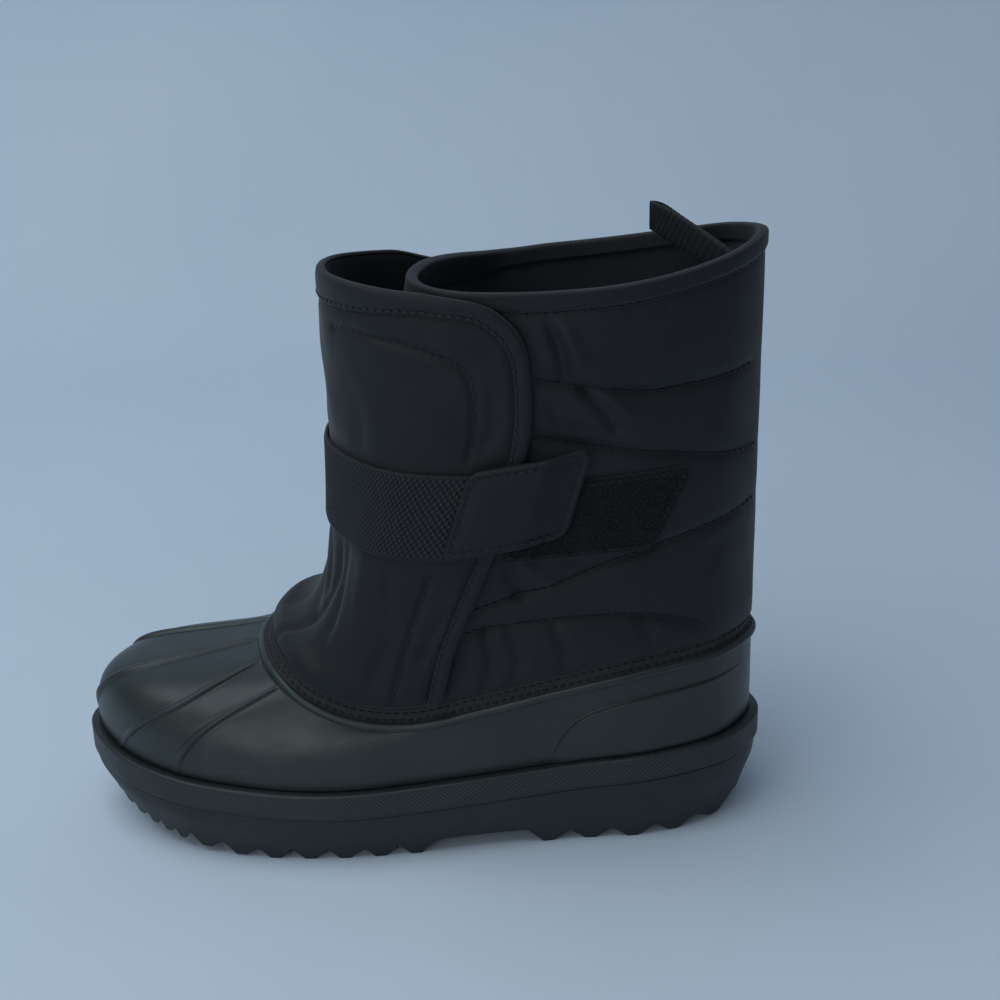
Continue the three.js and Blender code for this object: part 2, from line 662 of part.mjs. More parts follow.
// Half the height of a plate with rounded corners, near either of its ends.
function rounded(half, radius, fromEnd) {
  const inside = radius - Math.min(radius, fromEnd);
  return half - radius + Math.sqrt(radius ** 2 - inside ** 2);
}

const waysRound = (line) => [0, 1].map((i) => onSide(line.x[i] * LENGTH, line.height[i] * HEIGHT).x);
const tabWays = waysRound(TAB_LINE);
const patchWays = waysRound(PATCH_LINE);
const onFlap = FLAP + 2 * GAP;

// The elastic lies on the flap, from the medial seam round the front to under the tab.
function elasticStrap() {
  const [from, to] = [flapSeam(0.5) + 0.004, tabWays[0] + ELASTIC.tuck / GIRTH];
  const heightAt = lineThrough(ELASTIC.line, 'at', 'height');
  const rows = evenly(26).map((share) => ({
    u: lerp(from, to, share),
    z: heightAt(share) * HEIGHT,
    half: ELASTIC.half,
    under: onFlap,
    over: onFlap + ELASTIC.thick,
  }));
  return strip(rows, ELASTIC.slant, flapStandoff);
}

// A plate with rounded corners between two ends on the lateral side.
function plate(line, ways, shares, { half, radius, thick, slant }, underAt) {
  const length = (line.x[1] - line.x[0]) * LENGTH;
  const rows = shares.map((share) => ({
    u: lerp(...ways, share),
    z: lerp(...line.height, share) * HEIGHT,
    half: rounded(half, radius, length * Math.min(share, 1 - share)),
    under: underAt(share),
    over: underAt(share) + thick,
  }));
  return strip(rows, slant);
}

// The tab lies on the elastic's end, then comes down past the flap's edge.
function strapTab() {
  const high = FLAP_STANDOFF + onFlap + ELASTIC.thick + GAP;
  const low = GAP + PATCH.thick + TAB.rest;
  const shares = [0, 0.03, 0.08, 0.2, 0.35, 0.5, 0.62, 0.74, 0.86, 0.94, 0.97, 1];
  const under = (share) => lerp(high, low, ease(share, TAB_DROP.from, TAB_DROP.to));
  return plate(TAB_LINE, tabWays, shares, TAB, under);
}

function loopPatch() {
  const shares = [0, 0.04, 0.1, 0.25, 0.4, 0.55, 0.7, 0.85, 0.93, 0.97, 1];
  return plate(PATCH_LINE, patchWays, shares, PATCH, () => GAP);
}

// Webbing that leaves the lining at the back, folds over in the air and comes back.
function pullLoop() {
  const lining = (u) => lifted(shaftSurface, u, LOOP.root, -wallAt(LOOP.root) - 2 * GAP - WEBBING.thick);
  const fold = LOOP.fold.map(({ x, y, height }) => new THREE.Vector3(x * LENGTH, y * BALL, height * HEIGHT));
  const path = new THREE.CatmullRomCurve3([lining(0.5), ...fold, lining(0.5 + LOOP.spread)]);
  const rows = evenly(25).map((share) => {
    const point = path.getPoint(share);
    const along = path.getTangent(share);
    const side = along.clone().cross(Z).normalize().multiplyScalar(WEBBING.thick / 2);
    const up = side.clone().cross(along).normalize().multiplyScalar(WEBBING.width / 2);
    const spot = (a, b) => point.clone().addScaledVector(up, a).addScaledVector(side, b);
    return [spot(-1, 1), spot(1, 1), spot(1, -1), spot(-1, -1)];
  });
  return skin(rows);
}

const PIECES = [
  { name: 'outsole', solid: outsole, color: '#1b1c1e' },
  { name: 'midsole', solid: midsole, color: '#1d1e20' },
  { name: 'insole', solid: insole, color: '#232323' },
  { name: 'rubber_shell', solid: rubberShell, color: '#25292a' },
  { name: 'shaft', solid: shaft, color: '#17181b' },
  { name: 'collar_binding', solid: collarBinding, color: '#1b1c1f' },
  { name: 'front_flap', solid: frontFlap, color: '#18191c' },
  { name: 'flap_binding', solid: flapBinding, color: '#1b1c1f' },
  { name: 'elastic_strap', solid: elasticStrap, color: '#141517' },
  { name: 'strap_tab', solid: strapTab, color: '#1a1b1e' },
  { name: 'loop_patch', solid: loopPatch, color: '#131415' },
  { name: 'pull_loop', solid: pullLoop, color: '#16171b' },
];

const boot = new THREE.Group();
boot.name = 'snow_boot';
for (const { name, solid, color } of PIECES) {
  const mesh = new THREE.Mesh(solid(), new THREE.MeshStandardMaterial({ color, roughness: 0.7 }));
  mesh.name = name;
  boot.add(mesh);
}

// The row's origin is under the middle of the boot.
const box = new THREE.Box3().setFromObject(boot);
const middle = box.getCenter(new THREE.Vector3());
boot.children.forEach((mesh) => mesh.geometry.translate(-middle.x, -middle.y, -box.min.z));

export default boot;
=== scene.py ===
"""Left snow boot: rubber lower with toe ribs, quilted fabric shaft, wrapped flap and ankle strap."""
import math

import bpy
import numpy as np
from mathutils import Matrix, Vector


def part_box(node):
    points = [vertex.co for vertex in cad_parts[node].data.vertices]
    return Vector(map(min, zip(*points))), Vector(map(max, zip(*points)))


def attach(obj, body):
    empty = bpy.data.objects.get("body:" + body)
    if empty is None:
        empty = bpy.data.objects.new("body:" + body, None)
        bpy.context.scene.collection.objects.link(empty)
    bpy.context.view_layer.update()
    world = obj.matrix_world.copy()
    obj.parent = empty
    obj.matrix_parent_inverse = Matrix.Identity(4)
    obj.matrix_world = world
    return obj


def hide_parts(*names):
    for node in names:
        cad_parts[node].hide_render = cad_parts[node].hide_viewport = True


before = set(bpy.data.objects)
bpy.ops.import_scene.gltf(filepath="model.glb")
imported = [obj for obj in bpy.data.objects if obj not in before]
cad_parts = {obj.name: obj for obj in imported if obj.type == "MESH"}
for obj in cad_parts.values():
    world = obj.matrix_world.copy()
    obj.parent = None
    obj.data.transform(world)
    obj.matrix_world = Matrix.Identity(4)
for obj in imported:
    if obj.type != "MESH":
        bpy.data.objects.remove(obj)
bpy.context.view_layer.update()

# Sizes of the last, the sole and the walls, in millimetres, as in the CAD source.
LENGTH = 255
BALL = 47.5
HEIGHT = 220
LEDGE = 3.6
BAND = 10.3
FOOTBED = 5.5
GAP = 0.3
SHELL_WALL = 2.6
SHAFT_WALL = 4.8
RIM_WALL = 2.2
RIM_START = 0.72
BEAD = 1.7
FLANGE = 8.5
FLANGE_DIP = 0.9
LIP = 2.2
RIB = 1.5
RIB_SPREAD = 0.0036
# The ribs' sideways bow, most at half height: places and bows as shares of the way round.
RIB_BOWS = [(-0.5, 0), (-0.2, 0), (-0.1, 0.004), (-0.05, 0.018), (0, 0.027), (0.05, 0.031), (0.1, 0.0095),
            (0.2, 0), (0.5, 0)]
TREAD_INSET = 4.5
HEEL_INSET = 2
HEEL_SPREAD = 0.09
TOOTH_TIP = 3.6
CHANNEL = {"width": 8, "deep": 3, "from": 0.16, "to": 0.94}
COUNTER_STEP = 1.1
COUNTER_START = 0.335
COUNTER_TOP = 0.74
COUNTER_RISE = 0.017
COUNTER_END = (0.42, 0.48)
GIRTH = 430
SHAFT_HEIGHT = 150
FLAP = 2.6
FLAP_STANDOFF = 0.4
FLAP_LIFT = 1
FLAP_EASE = 0.8
FLAP_TUCK = {"deep": 0.03, "from": 0.13, "to": 0.215}
BINDING = 4.6
BOUND = 0.963
TAPE = 0.6
POCKET = {"deep": 31, "skew": 0.3, "reach": 0.7, "start": 0.1, "curve": 1.6}
FLAP_SEAM = (-0.255, -0.215)
SMALL = 1e-3
ELASTIC = {"half": 15.3, "thick": 1.6, "tuck": 5, "slant": 0.06, "pitch": 2.7, "deep": 0.75}
ELASTIC_LINE = [(0, 0.612), (0.45, 0.618), (0.75, 0.612), (1, 0.606)]
TAB = {"half": 16, "thick": 2.6, "radius": 4.5, "rest": 0.6, "slant": 0.1, "drop": (0.62, 0.9), "seam": 2.4}
TAB_LINE = [(0.570, 0.612), (0.734, 0.640)]
PATCH = {"half": 14.5, "thick": 1.2, "radius": 4, "slant": 0.3, "seam": 1.8}
PATCH_LINE = [(0.655, 0.590), (0.862, 0.598)]

# Stations from the toe to the heel: x as a share of LENGTH, lateral and medial half widths of BALL, and
# heights of HEIGHT, lateral and medial where there are two.
FOOT = [
    (0.012, -0.08, 0.08), (0.062, 0.46, 0.56), (0.153, 0.81, 0.80), (0.260, 0.96, 0.91), (0.376, 1.00, 0.93),
    (0.494, 0.94, 0.85), (0.608, 0.85, 0.75), (0.725, 0.76, 0.71), (0.839, 0.71, 0.69), (0.937, 0.48, 0.47),
    (0.986, 0, 0),
]
RIM = [
    (0.267, -0.03, 0.03, 0.309), (0.279, 0.36, 0.41, 0.307), (0.310, 0.68, 0.70, 0.293),
    (0.356, 0.83, 0.82, 0.262), (0.420, 0.89, 0.86, 0.236), (0.498, 0.90, 0.86, 0.230),
    (0.588, 0.88, 0.84, 0.250), (0.698, 0.83, 0.80, 0.277), (0.812, 0.75, 0.73, 0.300),
    (0.930, 0.52, 0.51, 0.313), (0.987, 0, 0, 0.314),
]
COLLAR = [
    (0.403, 0, 0, 0.956, 0.956), (0.414, 0.30, 0.30, 0.957, 0.950), (0.449, 0.57, 0.56, 0.957, 0.941),
    (0.500, 0.76, 0.73, 0.955, 0.934), (0.563, 0.86, 0.82, 0.953, 0.932), (0.636, 0.89, 0.85, 0.952, 0.934),
    (0.716, 0.89, 0.86, 0.953, 0.940), (0.798, 0.84, 0.82, 0.958, 0.950), (0.882, 0.70, 0.69, 0.971, 0.967),
    (0.957, 0.43, 0.43, 0.989, 0.988), (0.993, 0, 0, 1, 1),
]
# The same stations' profiles: lift, bulge, reach, crown, lean and instep. lift and crown are shares of the
# shell's height, bulge of LEDGE and reach of the way in. lean is in radians, and instep is the hollow there.
PROFILE = [
    (1.02, 0.75, 0.32, 0.78, 0.50, 1), (1.00, 0.70, 0.33, 0.77, 0.46, 0.95),
    (0.72, 0.45, 0.40, 0.74, 0.36, 0.8), (0.42, 0.45, 0.40, 0.70, 0.22, 0.45),
    (0.42, 0.45, 0.36, 0.84, 0.10, 0.12), (0.42, 0.45, 0.36, 0.84, 0.06, 0),
    (0.42, 0.40, 0.40, 0.80, 0.05, 0), (0.40, 0.30, 0.40, 0.75, 0.04, 0),
    (0.40, 0.20, 0.50, 0.70, 0.03, 0), (0.40, 0.10, 0.50, 0.70, 0.02, 0),
    (0.40, 0.10, 0.50, 0.70, 0, 0),
]
LEDGE_LINE = [
    (0, 0.162), (0.18, 0.144), (0.38, 0.131), (0.56, 0.141), (0.75, 0.157), (0.90, 0.170), (1, 0.170),
]
FLAP_EDGE = [
    (0.538, 0.285), (0.559, 0.380), (0.598, 0.490), (0.643, 0.620), (0.668, 0.740), (0.670, 0.830),
    (0.661, 0.885), (0.636, 0.922), (0.598, 0.948), (0.543, 0.966),
]
UP = np.array([0, 0, 1.0])


def smooth(value, low, high):
    """0 below low, 1 above high and a soft step between."""
    share = np.clip((value - low) / (high - low), 0, 1)
    return share * share * (3 - 2 * share)


def between(value, start, full, fade, end):
    """1 from full to fade, 0 outside start and end, with soft steps."""
    return smooth(value, start, full) * (1 - smooth(value, fade, end))


def bell(value, middle, width):
    """1 at the middle, with a soft fall on both sides."""
    return np.exp(-(((value - middle) / width) ** 2))


def spread_out(*values):
    """Arrays of one shape from arrays or numbers."""
    return np.broadcast_arrays(*(np.asarray(value, float) for value in values))


def catmull_rom(a, b, c, d, share):
    """The point at a share of the way from b to c, on a smooth line through all four."""
    return b + 0.5 * share * (c - a + share * (2 * a - 5 * b + 4 * c - d + share * (3 * (b - c) + d - a)))


def line_through(rows):
    """A smooth line through (at, value) rows, the same as the CAD source's."""
    at, value = (np.array(column, float) for column in zip(*rows))

    def line(where):
        i = np.clip(np.searchsorted(at, where, side="right") - 1, 0, len(at) - 2)
        start, end = at[i], at[i + 1]
        before = np.where(i > 0, at[i - 1], end)
        after = np.where(i + 2 < len(at), at[np.minimum(i + 2, len(at) - 1)], start)
        value_before = np.where(i > 0, value[i - 1], value[i + 1])
        value_after = np.where(i + 2 < len(at), value[np.minimum(i + 2, len(at) - 1)], value[i])
        p = np.clip((where - start) / (end - start), 0, 1)
        half = (end - start) / 2
        pull, push = half / (start - before), half / (after - end)
        return (
            (-pull * p**3 + 2 * pull * p**2 - pull * p) * value_before
            + ((1 + pull) * p**3 + (-1.5 - 2 * pull) * p**2 + (-0.5 + pull) * p + 1) * value[i]
            + ((-1 - push) * p**3 + (1.5 + push) * p**2 + 0.5 * p) * value[i + 1]
            + (push * p**3 - push * p**2) * value_after
        )

    return line


def drawn(spots, count):
    """Even places along a smooth line through (along, height) spots."""
    where = np.linspace(0, len(spots) - 1, count)
    return [line_through(enumerate(values))(where) for values in zip(*spots)]


def around(rows):
    """A closed curve through the stations: down the lateral side and back up the medial one."""
    stations = np.array(rows, float)

    def curve(u):
        p = np.asarray(u) % 1 * len(stations)
        i = np.floor(p).astype(int)
        near = (stations[(i + k) % len(stations)] for k in (-1, 0, 1, 2))
        return catmull_rom(*near, (p - i)[..., None])

    return curve


def ring(table):
    def spot(row, y, height):
        return (row[0] * LENGTH, y * BALL, height * HEIGHT)

    height = [(row[3], row[-1]) if len(row) > 3 else (0, 0) for row in table]
    lateral = [spot(row, -row[1], h[0]) for row, h in zip(table, height)]
    medial = [spot(row, row[2], h[1]) for row, h in zip(table, height)][1:-1]
    return around(lateral + medial[::-1])


foot, rim, collar = ring(FOOT), ring(RIM), ring(COLLAR)
profile = around(PROFILE + PROFILE[1:-1][::-1])
ledge_line = line_through(LEDGE_LINE)


def ledge_top(x):
    return ledge_line(x / LENGTH) * HEIGHT


def unit(vectors):
    return vectors / np.linalg.norm(vectors, axis=-1, keepdims=True)


def outward(curve, u):
    along = curve(u + SMALL) - curve(u - SMALL)
    return unit(np.stack([along[..., 1], -along[..., 0], np.zeros(along.shape[:-1])], -1))


def normals(surface, u, v):
    across = surface(u + SMALL, v) - surface(u - SMALL, v)
    up = surface(u, v + SMALL) - surface(u, v - SMALL)
    return unit(np.cross(across, up))


def lifted(surface, u, v, distance):
    """Points of a surface moved along its normals. The arrays are spread over each other."""
    u, v, distance = spread_out(u, v, distance)
    return surface(u, v) + normals(surface, u, v) * distance[..., None]


def bezier(a, b, c, d, share):
    t = share[..., None]
    return (1 - t) ** 3 * a + 3 * t * (1 - t) ** 2 * b + 3 * t * t * (1 - t) * c + t**3 * d


def with_height(points, height):
    return np.concatenate([points[..., :2], height[..., None]], -1)


def shell_surface(u, v):
    lift, bulge, reach, crown = (profile(u)[..., k] for k in range(4))
    low, high = foot(u), rim(u)
    low = with_height(low, ledge_top(low[..., 0]) + GAP)
    rise = high[..., 2] - low[..., 2]
    first = with_height(low + outward(foot, u) * (bulge * LEDGE)[..., None], low[..., 2] + lift * rise)
    second = with_height(low + (high - low) * reach[..., None], low[..., 2] + crown * rise)
    return bezier(low, first, second, high, v)


def flange_point(u, up, out):
    u, up, out = spread_out(u, up, out)
    lean = profile(u)[..., 4][..., None]
    away = outward(rim, u)
    along = UP * np.cos(lean) - away * np.sin(lean)
    side = away * np.cos(lean) + UP * np.sin(lean)
    return rim(u) + along * up[..., None] + side * out[..., None]


def envelope(u, v):
    u, v = spread_out(u, v)
    low, high = flange_point(u, FLANGE + GAP, 0), collar(u)
    instep = profile(u)[..., 5]
    rise = high[..., 2] - low[..., 2]
    first = with_height(low + (high - low) * (0.33 + 0.77 * instep)[..., None],
                        low[..., 2] + rise * 0.33 * (1 - instep))
    second = with_height(low + (high - low) * (0.66 + 0.29 * instep)[..., None],
                         low[..., 2] + rise * (0.66 - 0.36 * instep))
    return bezier(low, first, second, high, v)


FRONT = collar(np.array(0.0))[0]


def shaft_surface(u, v):
    point = envelope(u, v)
    reach = POCKET["reach"] * LENGTH
    share = np.clip((reach - point[..., 0]) / (reach - FRONT), 0, 1)
    low = POCKET["start"]
    opened = np.maximum(0, (np.asarray(v) - low) / (1 - low)) ** POCKET["curve"]
    shift = (POCKET["deep"] + POCKET["skew"] * point[..., 1]) * opened * share**1.2
    return point + shift[..., None] * np.array([1.0, 0, 0])


def on_side(x, z, side=-1):
    """Way round and share up where a side of the envelope has this length and height."""
    x, z = spread_out(x, z)
    u = np.full(x.shape, 0.3 if side < 0 else 0.7)
    v = np.full(x.shape, 0.5)
    for _ in range(30):
        point = envelope(u, v)
        u = u - side * (x - point[..., 0]) / GIRTH
        v = v + (z - point[..., 2]) / SHAFT_HEIGHT
    return u, v


def rise_to(u, z):
    v = np.full(np.broadcast(u, z).shape, 0.5)
    for _ in range(20):
        v = v + (z - envelope(u, v)[..., 2]) / SHAFT_HEIGHT
    return v


# The row's origin in the source's millimetres, from the midsole's box.
even_ring = np.arange(60) / 60
edge = foot(even_ring) + outward(foot, even_ring) * LEDGE
ORIGIN = np.array([*(edge[:, :2].min(0) - np.array(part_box("midsole")[0])[:2] * 1000), 0])


def in_row(points):
    return (np.asarray(points) - ORIGIN) / 1000


# Meshes.


def new_object(name, data):
    made = bpy.data.objects.new(name, data)
    bpy.context.scene.collection.objects.link(made)
    return made


def add_mesh(name, points, faces, corners=None, smooth_shade=True):
    """A mesh object from arrays. points are in the source's millimetres, corners are UVs per face corner."""
    mesh = bpy.data.meshes.new(name)
    mesh.vertices.add(len(points))
    mesh.vertices.foreach_set("co", in_row(points).ravel())
    size = faces.shape[1]
    mesh.loops.add(faces.size)
    mesh.loops.foreach_set("vertex_index", faces.ravel())
    mesh.polygons.add(len(faces))
    mesh.polygons.foreach_set("loop_start", np.arange(len(faces)) * size)
    mesh.polygons.foreach_set("loop_total", np.full(len(faces), size))
    if corners is not None:
        mesh.uv_layers.new(name="UVMap").data.foreach_set("uv", corners.ravel())
    mesh.update(calc_edges=True)
    mesh.polygons.foreach_set("use_smooth", np.full(len(faces), smooth_shade))
    return new_object(name, mesh)


def finish_piece(obj, material, replaced=None):
    for one in material if isinstance(material, list) else [material]:
        obj.data.materials.append(one)
    if replaced:
        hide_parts(replaced)
    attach(obj, "root")
    return obj


def run_lengths(points, axis):
    """Distances along one axis of a grid of points, averaged over the other, with the closing step."""
    steps = np.linalg.norm(np.roll(points, -1, axis) - points, axis=-1).mean(1 - axis)
    return np.concatenate([[0], np.cumsum(steps)])


def skin(name, rows, material, loop=False, choose=None):
    """The mesh that replaces a CAD node: rows of points, each a closed loop, as in the CAD source's skin."""
    rows = np.asarray(rows, float)
    count, size, _ = rows.shape
    grid = np.arange(count * size).reshape(count, size)
    base = grid if loop else grid[:-1]
    above = np.roll(grid, -1, 0) if loop else grid[1:]
    quads = np.stack([base, np.roll(base, -1, 1), np.roll(above, -1, 1), above], -1).reshape(-1, 4)
    along, across = run_lengths(rows, 0), run_lengths(rows, 1)
    r, c = (a.ravel() for a in np.meshgrid(np.arange(len(base)), np.arange(size), indexing="ij"))
    turns = ((0, 0), (0, 1), (1, 1), (1, 0))
    corners = np.stack([np.stack([along[r + i], across[c + j]], -1) for i, j in turns], 1)
    index = None if choose is None else choose(r, c)
    if not loop:
        i = np.arange(size // 2 - 1)
        j = size - 1 - i
        first = np.stack([j, j - 1, i + 1, i], -1)
        caps = np.concatenate([first, grid[-1, 0] + first[:, ::-1]])
        quads = np.concatenate([quads, caps])
        corners = np.concatenate([corners, np.zeros((len(caps), 4, 2))])
        index = None if index is None else np.concatenate([index, np.zeros(len(caps), int)])
    points = rows.reshape(-1, 3)
    a, b, c3, d = (points[quads[:, k]] for k in range(4))
    if (np.cross(b - a, c3 - a) * a).sum() + (np.cross(c3 - a, d - a) * a).sum() < 0:
        quads, corners = quads[:, ::-1], corners[:, ::-1]
    obj = add_mesh(name, points, quads, corners)
    if index is not None:
        obj.data.polygons.foreach_set("material_index", index.astype(np.int32))
    return finish_piece(obj, material, name)


def note_painted_highlight(obj, raised_for_highlight):
    """Marks how far each point of a weave stands up, from 0 to 1, for its material's painted highlight on
    raised points and painted shade in the hollows.
    """
    marks = obj.data.attributes.new("raised_for_highlight", "FLOAT", "POINT")
    marks.data.foreach_set("value", np.clip(raised_for_highlight, 0, 1).ravel().astype(np.float32))


def copies(name, template, faces, centres, frames, material, scales=None):
    """One mesh of many copies of a small template, each turned by its own frame."""
    scales = np.ones(len(centres)) if scales is None else scales
    points = centres[:, None] + np.einsum("kj,nji->nki", template, frames) * scales[:, None, None]
    offsets = np.arange(len(centres))[:, None, None] * len(template)
    obj = add_mesh(name, points.reshape(-1, 3), (faces[None] + offsets).reshape(-1, faces.shape[1]))
    return finish_piece(obj, material)


def resampled(line, pitch):
    """Even spots along a polyline, and its directions there."""
    steps = np.linalg.norm(np.diff(line, axis=0), axis=1)
    length = np.concatenate([[0], np.cumsum(steps)])
    at = np.arange(pitch / 2, length[-1], pitch)
    spots = np.stack([np.interp(at, length, line[:, k]) for k in range(3)], -1)
    ahead = np.stack([np.interp(at + 0.4, length, line[:, k]) for k in range(3)], -1)
    back = np.stack([np.interp(at - 0.4, length, line[:, k]) for k in range(3)], -1)
    return spots, unit(ahead - back), at / length[-1]


def tube_quads(rings, sides):
    grid = np.arange(rings * sides).reshape(rings, sides)
    low, high = grid[:-1], grid[1:]
    return np.stack([low, high, np.roll(high, -1, 1), np.roll(low, -1, 1)], -1).reshape(-1, 4)


def capsule(sides=6, rings=5):
    """A unit bead along its first axis: points and quads, with its ends drawn together."""
    turn = np.linspace(0.06, math.pi - 0.06, rings)
    way = np.arange(sides) * 2 * math.pi / sides
    points = np.stack([
        np.repeat(-np.cos(turn), sides),
        (np.sin(turn)[:, None] * np.cos(way)).ravel(),
        (np.sin(turn)[:, None] * np.sin(way)).ravel(),
    ], -1)
    tip = np.array([[0, 1, 2, 3], [0, 3, 4, 5]])
    return points, np.concatenate([tube_quads(rings, sides), tip, rings * sides - 1 - tip])


STITCH = {"pitch": 3.1, "long": 1.2, "wide": 0.46, "high": 0.42}
stitch_lines = []


def stitch(line, out, pitch=STITCH["pitch"]):
    """Notes a sewn line: points and outward directions, both along it."""
    spots, along, share = resampled(np.asarray(line), pitch)
    where = np.linspace(0, 1, len(out))
    away = unit(np.stack([np.interp(share, where, np.asarray(out)[:, k]) for k in range(3)], -1))
    stitch_lines.append((spots, along, away))


def add_stitches(material):
    template, faces = capsule()
    template = template * [STITCH["long"], STITCH["wide"], STITCH["high"]]
    spots, along, away = (np.concatenate([line[k] for line in stitch_lines]) for k in range(3))
    side = unit(np.cross(away, along))
    frames = np.stack([along, side, unit(np.cross(along, side))], 1)
    copies("stitches", template, faces, spots, frames, material)


# Soft folds.


def trough(points, line, depth, width):
    """A soft trough (or a ridge, if depth is negative) along a line of (x, z) points: how far it dips."""
    x, z = points
    line = np.asarray(line, float)
    best = np.full(x.shape, np.inf)
    for (ax, az), (bx, bz) in zip(line[:-1], line[1:]):
        dx, dz = bx - ax, bz - az
        share = np.clip(((x - ax) * dx + (z - az) * dz) / (dx * dx + dz * dz), 0, 1)
        best = np.minimum(best, (x - ax - share * dx) ** 2 + (z - az - share * dz) ** 2)
    return depth * np.exp(-best / width**2)


def ripple(a, b, seed):
    """Gentle unevenness between -1 and 1, of slow waves that cross each other."""
    rng = np.random.default_rng(seed)
    total = 0
    for _ in range(7):
        way, size, start = rng.uniform(0, math.tau), rng.uniform(14, 34), rng.uniform(0, math.tau)
        total = total + np.sin((a * math.cos(way) + b * math.sin(way)) / size * math.tau + start)
    return total / 7


# Quilt seams on each side: shares of LENGTH and HEIGHT, from front to back.
QUILT = [
    [(0.530, 0.842), (0.645, 0.828), (0.681, 0.820), (0.763, 0.800), (0.834, 0.789), (0.912, 0.795),
     (0.975, 0.803)],
    [(0.530, 0.766), (0.645, 0.737), (0.682, 0.728), (0.739, 0.712), (0.820, 0.693), (0.920, 0.672),
     (0.980, 0.662)],
    [(0.530, 0.420), (0.605, 0.446), (0.645, 0.459), (0.703, 0.478), (0.782, 0.511), (0.888, 0.546),
     (0.980, 0.570)],
    [(0.530, 0.385), (0.595, 0.404), (0.678, 0.413), (0.728, 0.417), (0.808, 0.415), (0.862, 0.402),
     (0.902, 0.387)],
]
# What a quilt seam is made of: depths and widths of troughs on one line, in millimetres.
QUILT_TROUGHS = [(1.7, 2.4), (0.9, 8), (0.7, 0.8)]
# Creases of the quarters: points as shares of LENGTH and HEIGHT, depth and width in millimetres.
CREASES = [
    ([(0.685, 0.945), (0.697, 0.915), (0.712, 0.870), (0.719, 0.825)], 1.7, 2.6),
    ([(0.705, 0.945), (0.722, 0.895), (0.738, 0.845)], -1.0, 3.6),
    ([(0.744, 0.801), (0.760, 0.780), (0.776, 0.755), (0.785, 0.735)], 1.3, 2.6),
    ([(0.762, 0.810), (0.780, 0.785), (0.800, 0.760)], -0.8, 3.2),
    ([(0.80, 0.950), (0.806, 0.925)], 0.9, 2.4),
    ([(0.845, 0.955), (0.850, 0.925)], 0.9, 2.4),
    ([(0.700, 0.775), (0.712, 0.750), (0.735, 0.738)], 0.9, 3.0),
    ([(0.90, 0.700), (0.912, 0.735), (0.918, 0.775)], 0.8, 4.0),
    ([(0.640, 0.560), (0.636, 0.510), (0.650, 0.465)], 1.5, 3.0),
    ([(0.655, 0.570), (0.660, 0.520), (0.690, 0.480)], -0.9, 3.6),
    ([(0.720, 0.520), (0.745, 0.510), (0.770, 0.525)], 0.8, 3.0),
    ([(0.93, 0.52), (0.90, 0.47), (0.89, 0.43)], 0.8, 3.5),
    ([(0.605, 0.400), (0.612, 0.350), (0.600, 0.300)], 1.2, 3.0),
    ([(0.640, 0.395), (0.650, 0.350), (0.640, 0.315)], 0.9, 3.0),
    ([(0.70, 0.40), (0.715, 0.36), (0.71, 0.33)], 0.8, 3.0),
    ([(0.82, 0.405), (0.83, 0.375), (0.825, 0.345)], 0.7, 3.0),
]
CREASE_GAIN = {"deep": 1.35, "wide": 0.8, "medial": 0.6}
# Creases of the flap: points as shares of the way round and HEIGHT, depth and width in millimetres.
FLAP_CREASES = [
    ([(0.020, 0.545), (0.045, 0.500), (0.060, 0.440)], 1.4, 4.0),
    ([(-0.03, 0.520), (0.000, 0.470), (0.030, 0.420), (0.060, 0.380)], 1.3, 4.5),
    ([(0.060, 0.350), (0.075, 0.400), (0.085, 0.470), (0.080, 0.530)], 1.2, 3.4),
    ([(0.100, 0.530), (0.105, 0.470), (0.120, 0.400), (0.135, 0.345)], 1.1, 4.6),
    ([(0.150, 0.530), (0.160, 0.470), (0.175, 0.420)], -0.8, 5.5),
    ([(0.195, 0.520), (0.205, 0.460), (0.215, 0.400), (0.21, 0.33)], 0.9, 4.0),
    ([(0.268, 0.440), (0.255, 0.410), (0.250, 0.370)], 1.0, 2.6),
    ([(-0.10, 0.530), (-0.075, 0.470), (-0.06, 0.40)], 1.0, 4.5),
    ([(-0.17, 0.520), (-0.15, 0.450), (-0.15, 0.38)], 0.9, 5.0),
    ([(0.02, 0.70), (0.10, 0.690), (0.18, 0.700)], 0.5, 5.0),
    ([(0.10, 0.80), (0.12, 0.745), (0.115, 0.70)], 0.4, 6.0),
    ([(0.262, 0.800), (0.270, 0.755), (0.262, 0.710)], 0.7, 3.0),
]
# The flap's sewn channel inside its edge, above and below the strap: shares of the way round and HEIGHT.
FLAP_CHANNEL = [
    (0.073, 0.886), (0.106, 0.892), (0.166, 0.881), (0.209, 0.864), (0.231, 0.846), (0.241, 0.825),
    (0.248, 0.793), (0.253, 0.738), (0.253, 0.700),
]
FLAP_CHANNEL_LOW = [(0.241, 0.508), (0.238, 0.466), (0.235, 0.428), (0.233, 0.378), (0.232, 0.291)]


# Heights in millimetres between which the strap presses the flap flat.
UNDER_STRAP = (112, 120, 150, 158)


def in_mm(line, wide=LENGTH):
    return [(x * wide, z * HEIGHT) for x, z in line]


